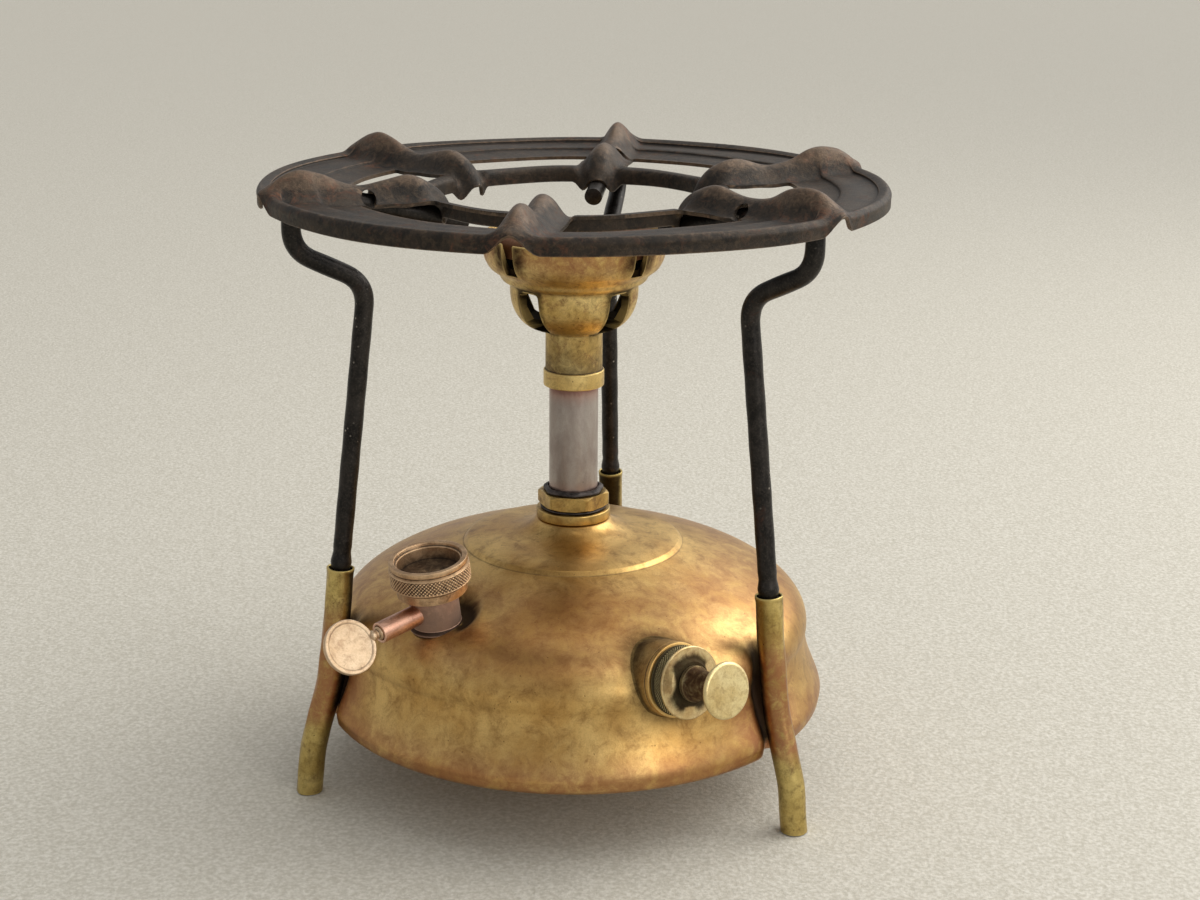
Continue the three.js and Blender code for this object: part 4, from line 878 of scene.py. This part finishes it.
def knurled(outline, low, high, face, around, pitch, fade, columns=560):
    """An outline turned round Z, with a diamond knurl between two heights on its face: two crossing
    sets of V-grooves, each a triangle wave of the angle plus or minus the height over the pitch."""
    line = []
    for first, second in zip(outline[:-1], outline[1:]):
        in_band = low - 0.01 <= min(first[1], second[1]) and max(first[1], second[1]) <= high + 0.01
        steps = 34 if in_band and abs(second[1] - first[1]) > 2 else 1
        line.extend(np.linspace(first, second, steps, endpoint=False))
    line = np.array(line + [outline[-1]])
    radius, height = line.T
    wave = lambda phase: np.abs((phase % 1) * 2 - 1)
    across = around * np.linspace(0, 1, columns, endpoint=False)[:, None]
    groove = np.minimum(wave(across + height / pitch), wave(across - height / pitch))
    band = smooth(height, low, low + fade) * (1 - smooth(height, high - fade, high)) * (radius > face - 0.15)
    share = 1 - KNURL_DEPTH * band * (1 - np.minimum(groove * 1.7, 1)) / face
    return spun(line, columns) * np.stack([share, share, np.ones_like(share)], axis=2)


def in_filler(grid):
    return stood(grid, FILLER_PLACE, FILLER_ANGLE, FILLER_TILT)


def sideways(grid):
    """A grid turned from Z to the arm's own direction, at the arm's height."""
    grid = grid[..., [2, 1, 0]] * (1, -1, 1)
    return stood(grid, (0, 0, ARM_HEIGHT), ARM_ANGLE, 0)


neck_grid, _ = collar([(NECK_BORE, -5), (NECK_BODY, -5), (NECK_BODY, NECK_SHOULDER),
                       (NECK_OUTER, NECK_SHOULDER), (NECK_OUTER, NECK_TOP), (NECK_BORE, NECK_TOP)], 0.3)
arm_line = eased_loop([(1.75, 5.2), (ARM_RADIUS, 5.2), (ARM_RADIUS, 8.2), (ARM_RADIUS, ARM_LENGTH),
                       (2.55, ARM_LENGTH), (2.55, ARM_LENGTH - 2.2), (1.75, ARM_LENGTH - 2.2)], 0.45, 4)
solder, _ = collar([(7.6, -2.6), (9.1, -1.0), (8.8, -0.3), (8.45, 0.1), (8.25, 0.6), (7.6, 0.6)], 0.3)
filler_neck = made("filler_spout", (in_filler(neck_grid), True),
                   (in_filler(sideways(spun(arm_line, 64))), True), (in_filler(solder), True))
cap_line = [(0, 16.1), (6.9, 16.1), (6.9, CAP_LOW), (CAP_SKIRT, CAP_LOW), (CAP_SKIRT, 14.9),
            (CAP_SKIRT + 0.7, 15.3), (CAP_RADIUS, 16.0), (CAP_RADIUS, 21.0), (CAP_RADIUS - 0.7, 21.5),
            (CAP_RADIUS - 0.75, 21.9), (CAP_RADIUS - 0.3, 22.3), (CAP_RADIUS - 0.35, CAP_HIGH),
            (CAP_RADIUS - 2.1, CAP_HIGH), (CAP_RADIUS - 2.3, 22.6), (CAP_RADIUS - 2.9, 22.4),
            (CAP_RADIUS - 3.0, 18.2), (0, 17.3)]
cap_line = np.concatenate([eased(cap_line[:6], 0.3), eased(cap_line[5:9], 0.05)[1:],
                           eased(cap_line[8:], 0.35)[1:]])
CAP_PITCH = 2 * math.pi * CAP_RADIUS / CAP_DIAMONDS
filler_cap = made("filler_screw_cap", in_filler(knurled(cap_line, 16, 21, CAP_RADIUS, CAP_DIAMONDS, CAP_PITCH,
                                                        0.3)), crease=30)
washer_grid, _ = collar([(4.9, 14.8), (6.3, 14.8), (6.3, 15.8), (4.9, 15.8)], 0.2, 64)
cap_washer = made("filler_washer", (in_filler(washer_grid), True))
for piece in (filler_neck, filler_cap):
    worn(piece, 0.35)
    place = points_of(piece) - FILLER_PLACE
    height = place @ FILLER_AXIS
    radius = np.linalg.norm(place - height[:, None] * FILLER_AXIS, axis=1)
    # Painted shade in the dish of the cap.
    dish = (height > 16.9) * (1 - smooth(radius, 10.4, 11.0)) * smooth(CAP_HIGH - height, 0.5, 3.2)
    # Painted shade on the neck: at its foot and solder in the pocket, and on its top under the cap.
    under = (1.2 * (1 - smooth(height, 0.2, 2.6)) * (radius < 12)
             + 0.8 * (radius < 8.4) * smooth(height, 9.0, 11.0))
    marked(piece, "soot_and_shade", 0.5 * dish if piece == filler_cap else 0.8 * under)
rosy_brass = aged_brass("rosy_brass", (244, 206, 182), (212, 162, 138), (126, 82, 66), (98, 60, 48),
                        0.4, stain_share=0.48, with_soot_and_shade=True, fine=0.4)
rose_cap_brass = aged_brass("filler_cap_brass", (222, 190, 152), (184, 146, 110), (100, 72, 50),
                            (84, 58, 42), 0.42, stain_share=0.5, speck=0.6, with_soot_and_shade=True, fine=0.4)
fitted(filler_neck, rosy_brass, "stove", "rosy_brass", "filler_neck")
fitted(filler_cap, rose_cap_brass, "filler_cap", "cap_brass", "filler_cap")
gum = Finish("washer_rubber")
old_rubber = gum.surface(gum.layered((28, 26, 25), (gum.noise(2, 4).between(0.3, 0.7), (58, 52, 48))), 0.8,
                         0.0)
fitted(cap_washer, old_rubber, "cap_washer", "rubber", "filler_cap_washer")
clothed("check_valve_pip", old_rubber)

# ---- Air screw -------------------------------------------
# A thin brass screw that lets the air out, with a collar where it meets the arm and a flat thumb
# disc like a coin, with a slightly raised edge.
THUMB_RADIUS, THUMB_CENTRE, THUMB_TURN = 9.0, 34.7, -33

coin = eased([(0, -0.72), (7.6, -0.72), (8.1, -0.95), (THUMB_RADIUS, -0.9), (THUMB_RADIUS, 0.9), (8.1, 0.95),
              (7.6, 0.72), (0, 0.72)], 0.35, 4)
coin = spun(coin, 128)
lean = np.array(Matrix.Rotation(math.radians(90 - THUMB_TURN), 3, "X"))
coin = stood(coin @ lean.T + (THUMB_CENTRE, 0, 0), (0, 0, ARM_HEIGHT), ARM_ANGLE, 0)
stem_line = eased([(0, 9.2), (0.7, 9.2), (1.45, 10.4), (1.45, 22.0), (2.3, 22.0), (2.3, 23.3), (1.5, 23.7),
                   (1.5, 24.6), (1.9, 25.2), (1.9, 26.2), (1.2, 26.9), (0, 26.9)], 0.25)
air_screw = made("thumb_screw", in_filler(coin), in_filler(sideways(spun(stem_line, 48))))
worn(air_screw, 0.35)
pale_brass = aged_brass("pale_brass", (228, 206, 176), (208, 180, 146), (150, 114, 86), (140, 100, 74),
                        0.48, stain_share=0.36, speck=0.6, fine=0.4)
fitted(air_screw, pale_brass, "air_screw", "pale_brass", "air_screw")

# ---- Pump ------------------------------------------------
# A brass barrel set through the tank wall in a soldered flange. A knurled cap screws on to its
# mouth, and a plunger with a cup leather is worked by a turned knob.
PUMP_CAP_RADIUS, FLANGE_RADIUS, KNOB_RADIUS, KNOB_LENGTH = 11.7, 12.2, 9.1, 18.0


def in_pump(grid):
    return stood(grid, PUMP_PLACE, PUMP_TURN, PUMP_TILT)


def skin_height(radius, columns):
    """Height along the pump's axis at which a cylinder of that radius meets the tank's outside,
    found by halving the interval."""
    low, high = np.full(columns, -30.0), np.full(columns, 0.0)
    for _ in range(30):
        middle = (low + high) / 2
        point = in_pump(polar(radius, circle(columns), middle))
        outline = np.interp(point[:, 2], shell_outside[:-2, 1], shell_outside[:-2, 0])
        inside = np.hypot(point[:, 0], point[:, 1]) < outline
        low, high = np.where(inside, middle, low), np.where(inside, high, middle)
    return (low + high) / 2


FLANGE_COLUMNS = 160
foot = skin_height(FLANGE_RADIUS, FLANGE_COLUMNS)
rows = [(9.8, -6.6), (11.7, -6.6), (12.05, -6.75), (FLANGE_RADIUS, -7.1), (FLANGE_RADIUS, -8.0),
        (11.95, -8.2), (11.95, -8.4), (FLANGE_RADIUS, -8.6), (FLANGE_RADIUS, np.minimum(foot + 0.5, -8.8)),
        (12.45, np.minimum(foot + 0.15, -9.0)), (12.7, foot - 0.35), (FLANGE_RADIUS, foot - 1.2),
        (9.8, foot - 1.6)]
flange_grid = np.stack([polar(r, circle(FLANGE_COLUMNS), height) for r, height in rows], axis=1)
flange = made("pump_seat", (in_pump(flange_grid), True), crease=30)
worn(flange, 0.4)
along = (points_of(flange) - PUMP_PLACE) @ PUMP_AXIS
marked(flange, "soot_and_shade", 0.2 + 0.42 * (1 - smooth(along, -9.4, -8.4)))
fitted(flange, tank_brass, "stove", "aged_brass", "pump_flange")

cap_outline = [(2.7, -1.5), (9.8, -1.5), (9.8, -6.3), (11.1, -6.3), (11.35, -6.05), (11.35, -5.4),
               (10.95, -5.1), (10.95, -4.8), (11.35, -4.5), (11.35, -1.3), (11.5, -1.05),
               (PUMP_CAP_RADIUS, -0.85), (PUMP_CAP_RADIUS, -0.3), (11.4, 0), (8.0, 0), (7.5, 0.18),
               (6.9, 0.72), (6.4, 0.8), (2.7, 0.8), (2.7, -1.5)]
pump_cap = made("pump_screw_cap", in_pump(knurled(cap_outline, -4.5, -1.3, 11.35, PUMP_CAP_DIAMONDS, 0.95,
                                                  0.2)), crease=30)
worn(pump_cap, 0.35)
place = points_of(pump_cap)
along = (place - PUMP_PLACE) @ PUMP_AXIS
outwards = place - PUMP_PLACE - along[:, None] * PUMP_AXIS
from_axis = np.linalg.norm(outwards, axis=1)
uneven = 1.3 * np.sin(outwards[:, 2] * 0.52 + 0.8) + 0.8 * np.sin(outwards[:, 0] * 0.9 + 2.0)
soot_and_shade = 0.85 * (1 - smooth(from_axis + uneven, 7.0, 9.2)) * smooth(along, -0.4, -0.1)
soot_and_shade = np.maximum(soot_and_shade, 1 - smooth(along, -1.3, -0.9))
marked(pump_cap, "soot_and_shade", soot_and_shade)
marked(pump_cap, "blush", 0.35 * (along > -0.6))
cap_pale = aged_brass("pump_cap_brass", (240, 224, 172), (220, 196, 138), (158, 124, 78), (120, 86, 56),
                      0.38, stain_share=0.42, with_soot_and_shade=True, fine=0.4)
fitted(pump_cap, cap_pale, "pump_cap", "pale_brass", "pump_cap")

knob_line = eased([(0, 9), (2.4, 9), (2.4, 1.1), (5.8, 1.1), (5.8, 2.6), (5.2, 3.2), (4.75, 5.5), (4.5, 9),
                   (4.5, 14.4), (5.0, 15.5), (6.0, 16.2), (8.7, 16.3), (KNOB_RADIUS, 16.7),
                   (KNOB_RADIUS, 17.3), (8.75, 17.75), (8.2, KNOB_LENGTH), (0, KNOB_LENGTH)], 0.4, 4)
knob = made("pump_thumb_knob", in_pump(spun(knob_line, 128)), crease=30)
worn(knob, 0.35)
along = (points_of(knob) - PUMP_PLACE) @ PUMP_AXIS
marked(knob, "soot_and_shade", 0.62 * (1 - smooth(along, 13, 16.3)))
marked(knob, "blush", 1.6 * (1 - smooth(along, 14, 16.4)))
fitted(knob, cap_pale, "pump_piston", "pale_brass", "pump_knob")
for node in ("pump_barrel", "pump_piston_plate", "pump_piston_nut", "check_valve_body", "check_valve_seat",
             "pickup_tube"):
    clothed(node, nut_brass)
for node in ("pump_rod", "check_valve_spring"):
    clothed(node, riser_steel)
hide = Finish("cup_leather")
hide_cloud = hide.noise(1.6, 5, 0.7)
hide_colour = hide.layered((58, 36, 22), (hide_cloud.between(0.3, 0.7), (112, 74, 46)))
oiled_leather = hide.surface(hide_colour, 0.62, 0.0, hide_cloud + hide.cells(0.5) * 0.5, 0.15)
clothed("pump_leather", oiled_leather)
